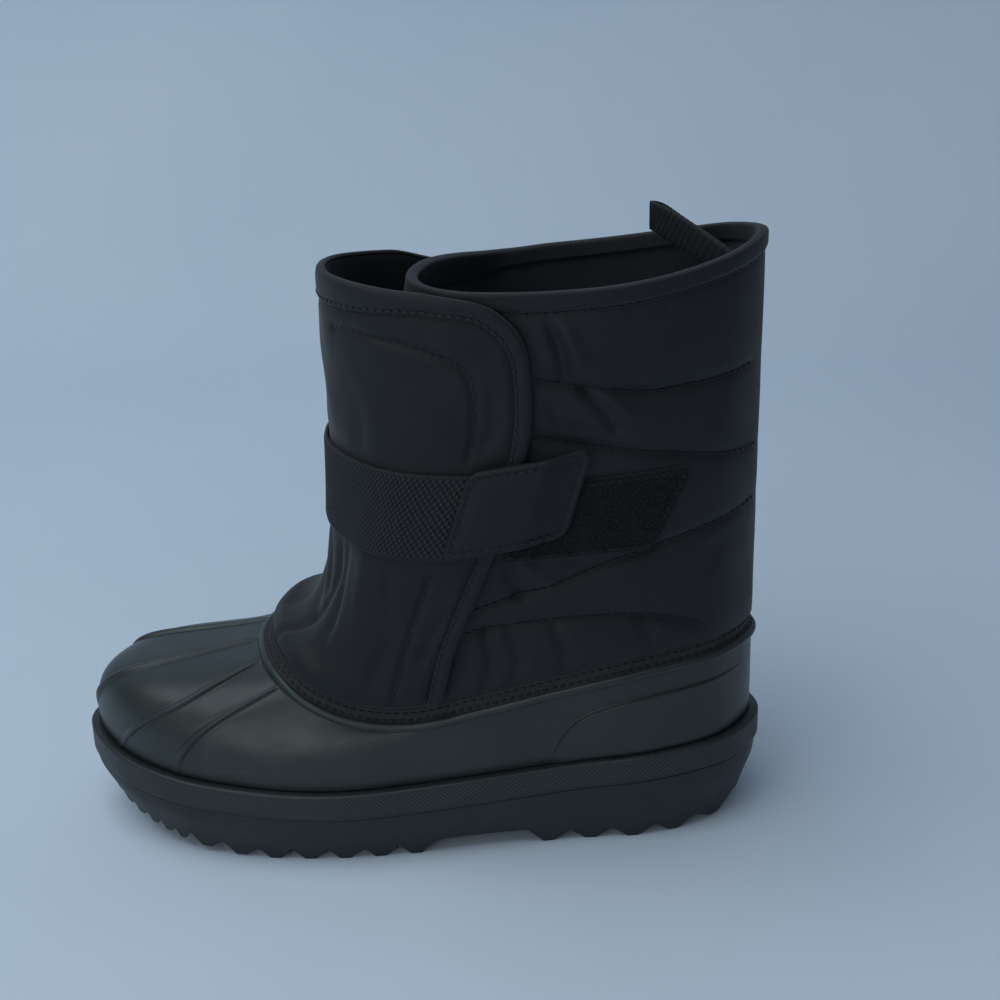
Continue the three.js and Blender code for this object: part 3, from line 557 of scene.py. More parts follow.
def quarter_relief(u, v):
    """How far the quilted quarters stand out of the plain shaft."""
    x, y, z = np.moveaxis(envelope(u, v), -1, 0)
    lateral = y < 0
    puff = 0.9 + 0.45 * ripple(x + 90 * lateral, z, 4)
    for line in QUILT:
        for depth, width in QUILT_TROUGHS:
            puff = puff - trough((x, z), in_mm(line), depth, width)
    for line, depth, width in CREASES:
        dent = trough((x, z), in_mm(line), CREASE_GAIN["deep"] * depth, CREASE_GAIN["wide"] * width)
        puff = puff - np.where(lateral, dent, CREASE_GAIN["medial"] * dent)
    puff = puff + bell(v, 0.045, 0.04)
    from_back = np.abs(u - 0.5) * GIRTH
    puff = puff * (0.12 + 0.88 * smooth(from_back, 5, 45)) - 0.5 * bell(from_back, 0, 2)
    patch_z = (PATCH_LINE[0][1] + PATCH_LINE[1][1]) / 2 * HEIGHT
    covered = between(x / LENGTH, 0.63, 0.66, 0.86, 0.89) * lateral
    covered = covered * (1 - smooth(np.abs(z - patch_z), PATCH["half"] - 1, PATCH["half"] + 4))
    puff = puff + (np.minimum(puff, 0.1) - puff) * covered
    reach = flap_reach(v)
    away = np.where(u < 0.5, smooth(u, reach - 0.004, reach + 0.026), 1 - smooth(u, 0.715, 0.745))
    top = 1 - smooth(v, 0.90, BOUND)
    hem = 0.45 * bell(v, BOUND - 0.006, 0.007) * away
    return puff * away * top * smooth(v, 0, 0.02) - hem - 0.4 * (1 - away) * smooth(v, 0, 0.05) * top


def shaft_skin(u, v, extra=0.0):
    return lifted(shaft_surface, u, v, quarter_relief(*np.broadcast_arrays(u, v)) + extra)


# The flap's domain.

edge_points = np.array([on_side(x, z) for x, z in in_mm(FLAP_EDGE)])
RISING = 150


def flap_edge_at(share):
    last = len(edge_points) - 1
    p = last * np.asarray(share, float)
    i = np.clip(np.floor(p).astype(int), 0, last - 1)
    near = (edge_points[np.clip(i + k, 0, last)] for k in (-1, 0, 1, 2))
    spot = catmull_rom(*near, (p - i)[..., None])
    spot[..., 1] += (1 - edge_points[-1, 1]) * smooth(p / last, 0.8, 1)
    return spot


def flap_tuck(u):
    return 1 - FLAP_TUCK["deep"] * smooth(-u, FLAP_TUCK["from"], FLAP_TUCK["to"])


def flap_seam(v):
    return FLAP_SEAM[0] + (FLAP_SEAM[1] - FLAP_SEAM[0]) * v


def flap_standoff(v):
    return FLAP_STANDOFF + FLAP_LIFT * smooth(v, 0.84, 0.92) + FLAP_EASE * (1 - smooth(v, 0.08, 0.3))


def flap_path(rising=RISING, topping=260):
    rise = flap_edge_at(np.linspace(0, 1, rising))
    way = np.linspace(rise[-1, 0], flap_seam(1), topping)[1:]
    return np.concatenate([rise, np.stack([way, flap_tuck(way)], -1)])


SCALE = np.array([GIRTH, SHAFT_HEIGHT])
path = flap_path()
path_mm = path * SCALE


def from_edge(u, v):
    """Distance from the flap's free edge, in millimetres of its flat pattern."""
    spots = np.stack([u * GIRTH, v * SHAFT_HEIGHT], -1).reshape(-1, 1, 2)
    nearest = [np.sqrt(((spots[k:k + 4000] - path_mm[None, ::3]) ** 2).sum(-1)).min(1)
               for k in range(0, len(spots), 4000)]
    return np.concatenate(nearest).reshape(u.shape)


def flap_relief(u, v):
    z = envelope(u, v)[..., 2]
    spot = u * GIRTH, z
    relief = 0.35 * ripple(*spot, 11)
    for line, depth, width in FLAP_CREASES:
        relief = relief - trough(spot, in_mm(line, GIRTH), depth, width)
    for line in (FLAP_CHANNEL, FLAP_CHANNEL_LOW):
        relief = relief - trough(spot, in_mm(line, GIRTH), 1.2, 1.5)
    relief = relief + 1.2 * bell(v, 0.05, 0.05)
    strap = 1 - 0.9 * between(z, *UNDER_STRAP)
    edge_away = from_edge(u, v)
    inside = smooth(edge_away, BINDING + 0.5, BINDING + 6)
    swell = 0.5 * smooth(edge_away, BINDING + 0.2, BINDING + 2.5) * strap
    relief = relief * strap * inside + swell - 0.3 * (edge_away < BINDING)
    return relief * smooth(u - flap_seam(v), 0, 0.03) * smooth(v, 0, 0.03)


def flap_point(u, v, depth):
    return lifted(envelope, u, v, flap_standoff(v) + depth)


def flap_thick(u, v):
    return 1 + (FLAP - 1) * np.minimum(smooth(u - flap_seam(v), 0, 0.03), smooth(v, 0, 0.08))


# Materials.


def new_material(name, color, roughness, **sockets):
    made = bpy.data.materials.new(name)
    made.use_nodes = True
    shader = made.node_tree.nodes["Principled BSDF"]
    shader.inputs["Base Color"].default_value = (*color, 1)
    shader.inputs["Roughness"].default_value = roughness
    for socket, value in sockets.items():
        shader.inputs[socket.replace("_", " ")].default_value = value
    return made, made.node_tree, shader


def node(tree, kind, inputs=(), **settings):
    """Adds a shader node. inputs has its sockets by name or place: a value to set, or another's output."""
    made = tree.nodes.new("ShaderNode" + kind)
    for key, value in settings.items():
        setattr(made, key, value)
    for key, value in dict(inputs).items():
        socket = made.inputs[key]
        if isinstance(value, bpy.types.NodeSocket):
            tree.links.new(value, socket)
        else:
            socket.default_value = value
    return made


def math_node(tree, operation, a, b=0.0):
    return node(tree, "Math", {0: a, 1: b}, operation=operation).outputs[0]


def noise(tree, place, scale, detail=3.0):
    return node(tree, "TexNoise", {"Vector": place, "Scale": scale, "Detail": detail}).outputs["Fac"]


def spread(tree, value, low, high, from_low=0.3, from_high=0.7):
    """A value's range moved to another."""
    inputs = {0: value, 1: from_low, 2: from_high, 3: low, 4: high}
    return node(tree, "MapRange", inputs).outputs[0]


def tinted(tree, shader, factor, dark, light):
    mix = node(tree, "Mix", {0: factor, 6: (*dark, 1), 7: (*light, 1)}, data_type="RGBA")
    tree.links.new(mix.outputs[2], shader.inputs["Base Color"])


def bumped(tree, shader, heights):
    """Bumps one after another: (height, distance in metres) pairs."""
    normal = None
    for height, distance in heights:
        inputs = {"Height": height, "Distance": distance}
        if normal:
            inputs["Normal"] = normal
        normal = node(tree, "Bump", inputs).outputs["Normal"]
    tree.links.new(normal, shader.inputs["Normal"])


def waves(tree, pitch_a, pitch_b):
    """Threads from the UVs, which are in millimetres: sine waves along both ways, multiplied."""
    parts = node(tree, "SeparateXYZ", {0: node(tree, "UVMap").outputs[0]}).outputs
    sines = [math_node(tree, "SINE", math_node(tree, "MULTIPLY", part, math.tau / pitch))
             for part, pitch in zip(parts, (pitch_a, pitch_b))]
    return math_node(tree, "MULTIPLY", sines[0], sines[1])


def object_place(tree):
    return node(tree, "TexCoord").outputs["Object"]


def painted_raised_light(tree, tone):
    """Adds a painted highlight on what stands up in a weave or a moulded hatch, and painted shade in its
    hollows, to a tone.
    """
    raised_for_highlight = node(tree, "Attribute", attribute_name="raised_for_highlight").outputs["Fac"]
    tone = math_node(tree, "MULTIPLY", tone, 0.3)
    return math_node(tree, "ADD", tone, math_node(tree, "POWER", raised_for_highlight, 1.5))


def cloth(name, dark, light, pitch, roughness=0.62, sheen=0.1, grain=2.0e-5, lumps=8.0e-5,
          weave_highlights=False, brushed=False):
    made, tree, shader = new_material(name, dark, roughness, Sheen_Weight=sheen, Sheen_Roughness=0.45,
                                      Specular_IOR_Level=0.3)
    place = object_place(tree)
    weave = waves(tree, pitch, pitch * 1.15)
    coarse, fine = noise(tree, place, 55), noise(tree, place, 900, 4)
    if brushed:
        combed = node(tree, "Mapping", {"Vector": place, "Scale": (1, 1, 0.12)}).outputs[0]
        fine = noise(tree, combed, 700, 4)
    tone = math_node(tree, "MULTIPLY", coarse, fine)
    # Where the flag is set, raised threads get a painted highlight and the hollows painted shade, over a
    # dimmed tone.
    tinted(tree, shader, painted_raised_light(tree, tone) if weave_highlights else tone, dark, light)
    tree.links.new(spread(tree, coarse, roughness - 0.06, roughness + 0.08), shader.inputs["Roughness"])
    bumped(tree, shader, [(weave, grain), (fine, grain), (coarse, lumps)])
    return made


def rubber(name, dark, light, roughness, scuffs=(), hatch_highlights=False):
    """Moulded rubber, with faint marks: (x, y, z, radii along x and z, light or dark) in the row frame."""
    made, tree, shader = new_material(name, dark, roughness, Specular_IOR_Level=0.42)
    place = object_place(tree)
    coarse, fine = noise(tree, place, 30), noise(tree, place, 1400, 5)
    tone = spread(tree, coarse, 0.25, 0.75)
    rough = spread(tree, noise(tree, place, 90, 5), roughness - 0.05, roughness + 0.07)
    for (x, y, z), (wide, high), strength in scuffs:
        away = node(tree, "VectorMath", {0: place, 1: (x, y, z)}, operation="SUBTRACT").outputs[0]
        away = node(tree, "VectorMath", {0: away, 1: (1 / wide, 0.1 / wide, 1 / high)}, operation="MULTIPLY")
        length = node(tree, "VectorMath", {0: away.outputs[0]}, operation="LENGTH").outputs["Value"]
        ragged = math_node(tree, "ADD", length, spread(tree, noise(tree, place, 700, 3), -0.45, 0.45))
        mark = spread(tree, ragged, strength, 0, 0.5, 1.2)
        tone = math_node(tree, "ADD", tone, mark)
        rough = math_node(tree, "ADD", rough, math_node(tree, "MULTIPLY", mark, 0.1))
    # Where the flag is set, hatch ridges get a painted highlight and the grooves painted shade.
    tinted(tree, shader, painted_raised_light(tree, tone) if hatch_highlights else tone, dark, light)
    tree.links.new(rough, shader.inputs["Roughness"])
    bumped(tree, shader, [(fine, 1.2e-5), (coarse, 2.5e-4)])
    return made


def mark(x, z, y, wide, high, strength):
    """A scuff's place from the source's millimetres."""
    return tuple(float(a) for a in in_row((x, y, z))), (wide / 1000, high / 1000), strength


SCUFFS = [
    mark(80, 47, -44, 5, 1.2, 0.7), mark(79, 43.5, -44, 4, 1.0, 0.6), mark(52, 42, -38, 1.6, 5, 0.45),
    mark(60, 36.5, -44, 12, 0.8, 0.4), mark(78, 37.5, -46, 0.9, 0.9, 1.0),
    mark(165, 43, -40, 0.5, 2.6, -0.4), mark(160, 46, -40, 0.5, 0.5, 0.9),
    mark(105, 45, -46, 14, 4, 0.18), mark(40, 60, -22, 16, 3, 0.15),
]
shell_rubber = rubber("shell_rubber", (0.0175, 0.0228, 0.0215), (0.030, 0.0385, 0.0362), 0.36, SCUFFS)
strip_rubber = rubber("sewing_strip", (0.0135, 0.0125, 0.0125), (0.025, 0.0225, 0.0225), 0.66)
# band_rubber: painted highlight on the hatch ridges and painted shade in the grooves, from the mesh's height
# marks.
band_rubber = rubber("band_rubber", (0.0090, 0.0115, 0.0115), (0.040, 0.050, 0.050), 0.46, hatch_highlights=True)
tread_rubber = rubber("tread_rubber", (0.0125, 0.0155, 0.0165), (0.020, 0.0255, 0.0275), 0.5)
nylon = cloth("shaft_nylon", (0.0076, 0.0087, 0.0104), (0.018, 0.0205, 0.0235), 0.62)
flap_nylon = cloth("flap_nylon", (0.0062, 0.0072, 0.0084), (0.0148, 0.0172, 0.0196), 0.62)
lining = cloth("lining_pile", (0.007, 0.0085, 0.010), (0.018, 0.022, 0.025), 1.7, 0.85, 0.4, 6.0e-5, 2.0e-4)
hem_cloth = cloth("hem_cloth", (0.0070, 0.0080, 0.0094), (0.016, 0.018, 0.021), 0.7, 0.6)
# elastic_weave: painted highlight on the weave's raised diamonds and painted shade, near black, in its
# hollows.
elastic_weave = cloth("elastic_weave", (0.0008, 0.0010, 0.0012), (0.029, 0.034, 0.039), 0.5, 0.6, weave_highlights=True)
tab_cloth = cloth("tab_cloth", (0.0066, 0.0076, 0.0090), (0.014, 0.016, 0.019), 0.8, 0.58, 0.05)
pile = cloth("loop_pile", (0.0024, 0.0028, 0.0038), (0.0145, 0.0165, 0.022), 1.1, 0.8, 0.15, brushed=True)
webbing = cloth("webbing", (0.006, 0.0075, 0.010), (0.014, 0.017, 0.022), 0.7, 0.55)
thread = cloth("thread", (0.005, 0.006, 0.007), (0.020, 0.022, 0.025), 0.3, 0.42)
felt = cloth("insole_felt", (0.008, 0.009, 0.010), (0.018, 0.020, 0.021), 1.3, 0.9, 0.3, 5.0e-5, 3.0e-4)


# The rubber lower.


def spaced(count, places, width, gain):
    """Ways round that lie closer near some places: gain times as close, within a width."""
    fine = np.linspace(0, 1, 20001)
    near = sum(bell((fine - at + 0.5) % 1, 0.5, width) for at in places)
    total = np.cumsum(1 + gain * near)
    return np.interp(np.arange(count) / count, (total - total[0]) / (total[-1] - total[0]), fine)


def round_distance(u, places):
    return np.min([np.abs((u - at + 0.5) % 1 - 0.5) for at in places], 0)


RIBS = [i / 20 for i in (0, 1, 2, 18, 19)]
RIB_GROOVE = 0.12


def rib_height(u, v):
    away = round_distance(u, RIBS) / RIB_SPREAD
    ridge = RIB * np.cos(np.pi / 2 * np.minimum(1, away)) ** 0.8
    groove = RIB_GROOVE * bell(away, 1.5, 0.45)
    return (ridge - groove) * (1 - 0.35 * v) * smooth(1 - v, 0, 0.05) * (0.25 + 0.75 * smooth(v, 0.03, 0.2))


rib_bow = line_through(RIB_BOWS)


def bowed(u, v):
    return u + rib_bow((u + 0.5) % 1 - 0.5) * 4 * v * (1 - v)


def counter_arc(u):
    start = np.minimum(u, 1 - u) - COUNTER_START
    climb = 1 - np.exp(-np.abs(start) / COUNTER_RISE)
    end = 1 - smooth(start + COUNTER_START, *COUNTER_END)
    share = np.where(start > 0, 0.04 + (COUNTER_TOP - 0.04) * climb, 0.04 + 0.46 * climb)
    return share, smooth(start, 0, COUNTER_RISE / 2) * end


def column(values):
    return np.asarray(values, float)[:, None]


def rubber_shell():
    u = spaced(760, RIBS, 2.2 * RIB_SPREAD, 5)
    share, step = counter_arc(u)
    half = 0.012
    s = column(np.linspace(0, 1, 22))
    v = np.concatenate([s * (share - half), share - half + 2 * half * column(np.linspace(0, 1, 7)[1:-1]),
                        share + half + (1 - share - half) * column(np.linspace(0, 1, 26))])
    u_grid = np.broadcast_to(u, v.shape)
    drop = 1 - smooth(v, share - half, share + half)
    lip = 0.45 * bell(v, share - 1.2 * half, 1.3 * half)
    relief = step * (COUNTER_STEP * drop + lip) + rib_height(u_grid, v)
    outer = lifted(shell_surface, bowed(u_grid, v), v, relief)
    s = column(np.linspace(0.08, 0.92, 10))
    bead = flange_point(u, BEAD * (1 - np.cos(np.pi * s)), BEAD * np.sin(np.pi * s))
    ups = [2 * BEAD, 3 * BEAD, 0.75 * FLANGE, 0.93 * FLANGE, FLANGE, FLANGE, 0.5 * FLANGE, 0]
    outs = [*[-FLANGE_DIP] * 4, -FLANGE_DIP - 0.3, *[-SHELL_WALL] * 3]
    flange = flange_point(u, column(ups), column(outs))
    inner = lifted(shell_surface, u, column(np.linspace(1, 0, 12)[1:]), -SHELL_WALL)
    inner[-1, :, 2] = outer[0, :, 2]
    rows = np.concatenate([outer, bead, flange, inner])
    first = len(outer) + len(bead)

    def strip(row, _):
        return ((row >= first - 1) & (row < first + 5)).astype(int)

    skin("rubber_shell", rows, [shell_rubber, strip_rubber], loop=True, choose=strip)
    for up in (0.50, 0.80):
        around_once = np.linspace(0, 1, 600)
        out = flange_point(around_once, up * FLANGE, 1) - flange_point(around_once, up * FLANGE, 0)
        stitch(flange_point(around_once, up * FLANGE, -FLANGE_DIP + 0.1), out)


def outline(u, out, height):
    points = foot(u) + outward(foot, u) * np.asarray(out, float)[..., None]
    return with_height(points, height(points[..., 0]))


HATCH = {"pitch": 1.7, "deep": 0.4, "from": 0.13, "to": 0.9, "fade": (0.10, 0.24, 0.86, 0.95)}


def midsole():
    u = np.arange(1900) / 1900
    base = outline(u, LEDGE, ledge_top)
    run = np.concatenate([[0], np.cumsum(np.linalg.norm(np.diff(base, axis=0), axis=1))])
    share = base[:, 0] / LENGTH
    there = between(share, *HATCH["fade"])
    low, high = HATCH["from"], HATCH["to"]
    rows, raised_for_highlight = [], []
    for up in np.concatenate([[0, 0.03, 0.08], np.linspace(0.12, 0.93, 28), [0.97, 1]]):
        edge = min(up * BAND, (1 - up) * BAND, 1.0)
        out = LEDGE - 1 + math.sqrt(1 - (1 - edge) ** 2)
        inside = between(up, low, low + 0.04, high - 0.04, high)
        hatch = 0.5 + 0.5 * np.sin((run + up * BAND) / HATCH["pitch"] * math.tau)
        line = 0.25 * bell(up, low - 0.02, 0.02)
        relief = there * (HATCH["deep"] * inside * (hatch - 0.5) - line)
        # How far each point stands up, for the material's painted highlight on hatch ridges and painted
        # shade in the grooves; the rest of the band gets a fixed low value.
        raised_for_highlight.append(0.25 + there * inside * (hatch - 0.25))
        rows.append(outline(u, out + relief, lambda x, up=up: ledge_top(x) - BAND * (1 - up)))
    recess = -SHELL_WALL - 2 * GAP
    for out, drop in ((0.5 * (LEDGE - 1), 0), (recess, 0), (recess - 1, FOOTBED)):
        rows.append(outline(u, out, lambda x, drop=drop: ledge_top(x) - drop))
        raised_for_highlight.append(0.25 + 0 * u)
    note_painted_highlight(skin("midsole", rows, band_rubber), np.array(raised_for_highlight))


# The line of the tread's tips, and its teeth: shares of LENGTH, count and depth in millimetres.
TREAD_LINE = [
    (0, 0.068), (0.10, 0.034), (0.20, 0.010), (0.275, 0), (0.40, 0), (0.50, 0), (0.56, 0.013),
    (0.63, 0.016), (0.675, 0), (0.74, 0), (0.82, 0), (0.92, 0.006), (1, 0.015),
]
TEETH = [(0.030, 0.165, 6, 3.2), (0.165, 0.520, 7, 5), (0.655, 1.021, 6, 4.5)]
tread_line = line_through(TREAD_LINE)


def tread_tip(x):
    return np.maximum(0, tread_line(x / LENGTH)) * HEIGHT


def saw_tooth(x):
    """Height of the tread's underside: teeth with flat tips, and smooth arches between their zones."""
    spots = [-LEDGE]
    heights = [tread_tip(np.array(0.0)) + TEETH[0][3]]
    for start, end, count, deep in TEETH:
        pitch = (end - start) * LENGTH / count
        tip = min(TOOTH_TIP, 0.4 * pitch) / 2
        for i in range(count):
            middle = start * LENGTH + (i + 0.5) * pitch
            root = middle - pitch / 2
            spots += [root, middle - tip, middle + tip]
            heights += [tread_tip(root) + deep, tread_tip(middle), tread_tip(middle)]
        spots.append(end * LENGTH)
        heights.append(tread_tip(end * LENGTH) + deep)
    return np.interp(x, spots, np.array(heights, float))


def outsole():
    u = spaced(1500, [0.0], 0.2, 1.0)
    heel = bell(u, 0.5, HEEL_SPREAD)
    under = LEDGE - 1
    top = outline(u, under, lambda x: ledge_top(x) - BAND - GAP)

    def wall(share):
        """The side at a share of the way down from the band to the tips."""
        low = smooth(share, 0.1, 1.0) * 0.35 + 0.65 * np.maximum(0, (share - 0.3) / 0.7)
        upper = np.minimum(1, share / 0.3)
        out = under - TREAD_INSET * low - HEEL_INSET * heel * (0.35 * upper + 0.65 * low)
        flat = foot(u) + outward(foot, u) * out[..., None]
        drop = top[:, 2] - tread_tip(flat[..., 0])
        return with_height(flat, top[:, 2] - share * drop)

    foot_share = np.ones(len(u))
    for _ in range(8):
        point = wall(foot_share)
        foot_share = foot_share * (top[:, 2] - saw_tooth(point[:, 0])) / (top[:, 2] - point[:, 2])
    rows = [wall(foot_share * share) for share in np.concatenate([np.linspace(0, 0.9, 22), [0.95, 0.975]])]
    edge = wall(foot_share)
    middle = edge[:, :2] * [1, 0]

    def underside(keep, lift):
        points = np.concatenate([middle + (edge[:, :2] - middle) * keep, edge[:, 2:]], 1)
        points[:, 2] = saw_tooth(points[:, 0]) + lift
        return points

    half = column(CHANNEL["width"] / 2 / np.maximum(np.abs(edge[:, 1]), CHANNEL["width"]))
    x = edge[:, 0] / LENGTH
    start, end = CHANNEL["from"], CHANNEL["to"]
    grooved = between(x, start, start + 0.01, end - 0.01, end)
    deep = np.maximum(0, tread_tip(edge[:, 0]) + CHANNEL["deep"] - saw_tooth(edge[:, 0])) * grooved
    rows += [edge, underside(0.985, 0), underside(half + 0.02, 0), underside(half, deep)]
    skin("outsole", rows, tread_rubber)


# The fabric upper.


def flap_reach(v):
    """The lateral edge of the flap: its way round at a height share."""
    rise = path[:RISING]
    return np.interp(v, rise[:, 1], rise[:, 0])


def wall_at(v):
    """Thickness of the padded wall, which thins towards the collar."""
    return SHAFT_WALL + (RIM_WALL - SHAFT_WALL) * smooth(v, RIM_START, BOUND)


def shaft():
    u = np.arange(430) / 430
    tuck = -SHELL_WALL - GAP
    low = flange_point(u, column([1, FLANGE + GAP]), column([tuck - 0.4, tuck]))
    v = column(np.linspace(0, BOUND, 165))
    outer = shaft_skin(u, v)
    top = lifted(shaft_surface, u, column([1.0]), 0)
    inner_v = column([1, BOUND, *np.linspace(BOUND, 0.02, 22)[1:]])
    inner = lifted(shaft_surface, u, inner_v, -wall_at(inner_v))
    last = flange_point(u, column([1]), column([tuck - LIP - 0.4]))
    rows = np.concatenate([low, outer, top, inner, last])
    first = len(low) + len(outer)

    def inside(row, _):
        return (row >= first).astype(int)

    skin("shaft", rows, [nylon, lining], loop=True, choose=inside)
    for side in (-1, 1):
        for seam in QUILT:
            x, z = drawn(seam, 240)
            way, up = on_side(x * LENGTH, z * HEIGHT, side)
            keep = (way > flap_reach(up) + 0.004) & (way < 0.74) & (np.abs(way - 0.5) > 0.006)
            keep &= (way < 0.5) if side < 0 else (way > 0.5)
            way, up = way[keep], up[keep]
            if len(way) > 20:
                stitch(shaft_skin(way, up, 0.35), normals(envelope, way, up))
    way = np.linspace(0.18, 0.80, 500)
    up = np.full(500, BOUND - 0.004)
    stitch(shaft_skin(way, up, 0.25), normals(envelope, way, up))


def collar_binding():
    u = np.arange(1080) / 1080
    ribs = 0.04 * np.sin(u * math.tau * 270)
    faces = [GAP + TAPE, -RIM_WALL - GAP - TAPE]
    rows = [lifted(shaft_surface, u, BOUND, GAP)]
    for v in np.linspace(BOUND + 0.004, 1, 9):
        rise = float(smooth(v, BOUND - 0.006, BOUND + 0.014))
        rows.append(lifted(shaft_surface, u, v, GAP + TAPE * rise + ribs))
    for turn in np.linspace(0.15, 0.85, 8) * math.pi:
        out = faces[0] + (faces[1] - faces[0]) * (0.5 - 0.5 * math.cos(turn))
        point = lifted(shaft_surface, u, 1.0, out)
        rise = (GAP + TAPE) * math.sin(turn) ** 0.7 + ribs
        rows.append(point + rise[:, None] * UP)
    for v in np.linspace(1, BOUND, 7):
        rows.append(lifted(shaft_surface, u, v, faces[1] - ribs))
    rows.append(lifted(shaft_surface, u, BOUND, -RIM_WALL - GAP))
    rows.append(lifted(shaft_surface, u, 1.0, -RIM_WALL - GAP) + GAP * UP)
    rows.append(lifted(shaft_surface, u, 1.0, GAP) + GAP * UP)
    skin("collar_binding", rows, hem_cloth, loop=True)


def flap_spots(shares, across):
    edge = flap_edge_at(shares)[:, None]
    seam = np.stack([flap_seam(edge[..., 1]), edge[..., 1]], -1)
    spots = seam + (edge - seam) * np.asarray(across)[None, :, None]
    spots[..., 1] *= flap_tuck(spots[..., 0])
    return spots


def front_flap():
    spots = flap_spots(np.linspace(0, 1, 150), np.concatenate([[0], np.linspace(0.01, 1, 209)]))
    u, v = spots[..., 0], spots[..., 1]
    outer = flap_point(u, v, flap_thick(u, v) + flap_relief(u, v))
    inner = flap_point(u, v, 0)[:, ::-1]
    skin("front_flap", np.concatenate([outer, inner], 1), flap_nylon)
    for line in (FLAP_CHANNEL, FLAP_CHANNEL_LOW):
        way, z = drawn(line, 200)
        up = rise_to(way, z * HEIGHT)
        depth = flap_thick(way, up) + flap_relief(way, up) + 0.1
        stitch(flap_point(way, up, depth), normals(envelope, way, up))


def along_edge(away, points):
    """A line beside the flap's free edge, at a distance into the flap."""
    ahead = np.gradient(points * SCALE, axis=0)
    inward = unit(np.stack([-ahead[:, 1], ahead[:, 0]], -1))
    return points + inward * away / SCALE


# The hem's section, in millimetres: places from its inner border, or into the flap from its edge, and
# heights above the flap's cloth.
HEM_OUTSIDE = [
    (0, 0.35), (0.15, 0.75), (0.45, 0.85), (0.75, 0.45), (1.05, 0.85), (1.8, 1.05), (3, 1.1), (4, 1.05),
]
HEM_EDGE = [(-0.3, 0.75), (-0.7, 0.2), (-0.9, -0.6), (-0.9, -1.8), (-0.7, -2.3), (-0.3, -2.55), (-0.3, 0.1)]
HEM = [(BINDING - place, FLAP + height) for place, height in HEM_OUTSIDE]
HEM += [(place, FLAP + height) for place, height in (*HEM_EDGE, (BINDING / 2, 0.1), (BINDING, 0.1))]
HEM_SEAM = {"in": 0.75, "above": 0.85}


def flap_binding():
    points = flap_path(400, 560)
    rows = []
    for away, depth in HEM:
        way, up = along_edge(away, points).T
        rows.append(flap_point(way, up, depth))
    skin("flap_binding", np.array(rows).transpose(1, 0, 2), hem_cloth)
    way, up = along_edge(BINDING - HEM_SEAM["in"], points).T
    stitch(flap_point(way, up, FLAP + HEM_SEAM["above"]), normals(envelope, way, up))


# The strap.


def strap_rows(way, z, half, slant, count, under, over, rest=np.zeros_like):
    """Rows for skin() over the envelope. under and over take a row's share and the places across."""
    across = np.linspace(-1, 1, count)
    share = column(np.linspace(0, 1, len(way)))
    up = column(half) * across
    u = column(way) + up * slant / GIRTH
    v = rise_to(u, column(z) + up)
    bottom = lifted(envelope, u, v, under(share, across) + rest(v))[:, ::-1]
    return np.concatenate([lifted(envelope, u, v, over(share, across) + rest(v)), bottom], 1)


ON_FLAP = FLAP + 2 * GAP


def ends(line):
    return [float(on_side(x, z)[0]) for x, z in in_mm(line)]


def elastic_strap():
    start, end = flap_seam(0.5) + 0.004, ends(TAB_LINE)[0] + ELASTIC["tuck"] / GIRTH
    share = np.linspace(0, 1, 520)
    way = start + (end - start) * share
    z = line_through(ELASTIC_LINE)(share) * HEIGHT
    run = column((way - start) * GIRTH)

    def over(_, across):
        side = across * ELASTIC["half"]
        turn = math.pi / ELASTIC["pitch"]
        weave = np.abs(np.sin((run + side) * turn) * np.sin((run - side) * turn))
        edge = smooth(1 - np.abs(across), 0, 0.09)
        return ON_FLAP + ELASTIC["thick"] - ELASTIC["deep"] * (1 - weave) * edge - 0.5 * (1 - edge)

    half = 0 * way + ELASTIC["half"]
    rows = strap_rows(way, z, half, ELASTIC["slant"], 72, lambda *_: ON_FLAP, over, flap_standoff)
    # How far the weave stands up, for the material's painted highlight on its tops and painted shade in its
    # hollows; the underside is given the darkest tone.
    raised_for_highlight = over(None, np.linspace(-1, 1, 72)) - ON_FLAP - ELASTIC["thick"]
    strap = skin("elastic_strap", rows, elastic_weave)
    note_painted_highlight(strap, np.concatenate([1 + raised_for_highlight / ELASTIC["deep"], 0 * raised_for_highlight], 1))


def rounded(half, radius, from_end):
    inside = radius - np.minimum(radius, from_end)
    return half - radius + np.sqrt(radius**2 - inside**2)


def plate_shares(count):
    """Shares that lie closer at both ends, where the corners turn."""
    even = np.linspace(0, 1, count)
    return 0.5 - 0.5 * np.cos(np.pi * even) * (1 - 0.25 * np.sin(np.pi * even) ** 2)


def plate(sizes, line, count):
    share = plate_shares(count)
    start, end = ends(line)
    length = (line[1][0] - line[0][0]) * LENGTH
    z = (line[0][1] + (line[1][1] - line[0][1]) * share) * HEIGHT
    half = rounded(sizes["half"], sizes["radius"], length * np.minimum(share, 1 - share))
    return share, start + (end - start) * share, z, half, length


def border_line(share, way, z, half, length, inset, slant):
    """A closed line that runs round a plate, inside its edge: way round and height."""
    ends_inside = inset / length
    middle = (share > ends_inside) & (share < 1 - ends_inside)
    w, h, side = way[middle], z[middle], half[middle] - inset
    u = np.concatenate([w, w[::-1], w[:1]])
    up = np.concatenate([side, -side[::-1], side[:1]])
    return u + up * slant / GIRTH, np.concatenate([h, h[::-1], h[:1]]) + up


def plate_stitches(lines, inset, slant, surface):
    u, z = border_line(*lines, inset, slant)
    way = np.linspace(0, len(u) - 1, 500)
    u, z = np.interp(way, np.arange(len(u)), u), np.interp(way, np.arange(len(z)), z)
    v = rise_to(u, z)
    stitch(lifted(envelope, u, v, surface(u)), normals(envelope, u, v))


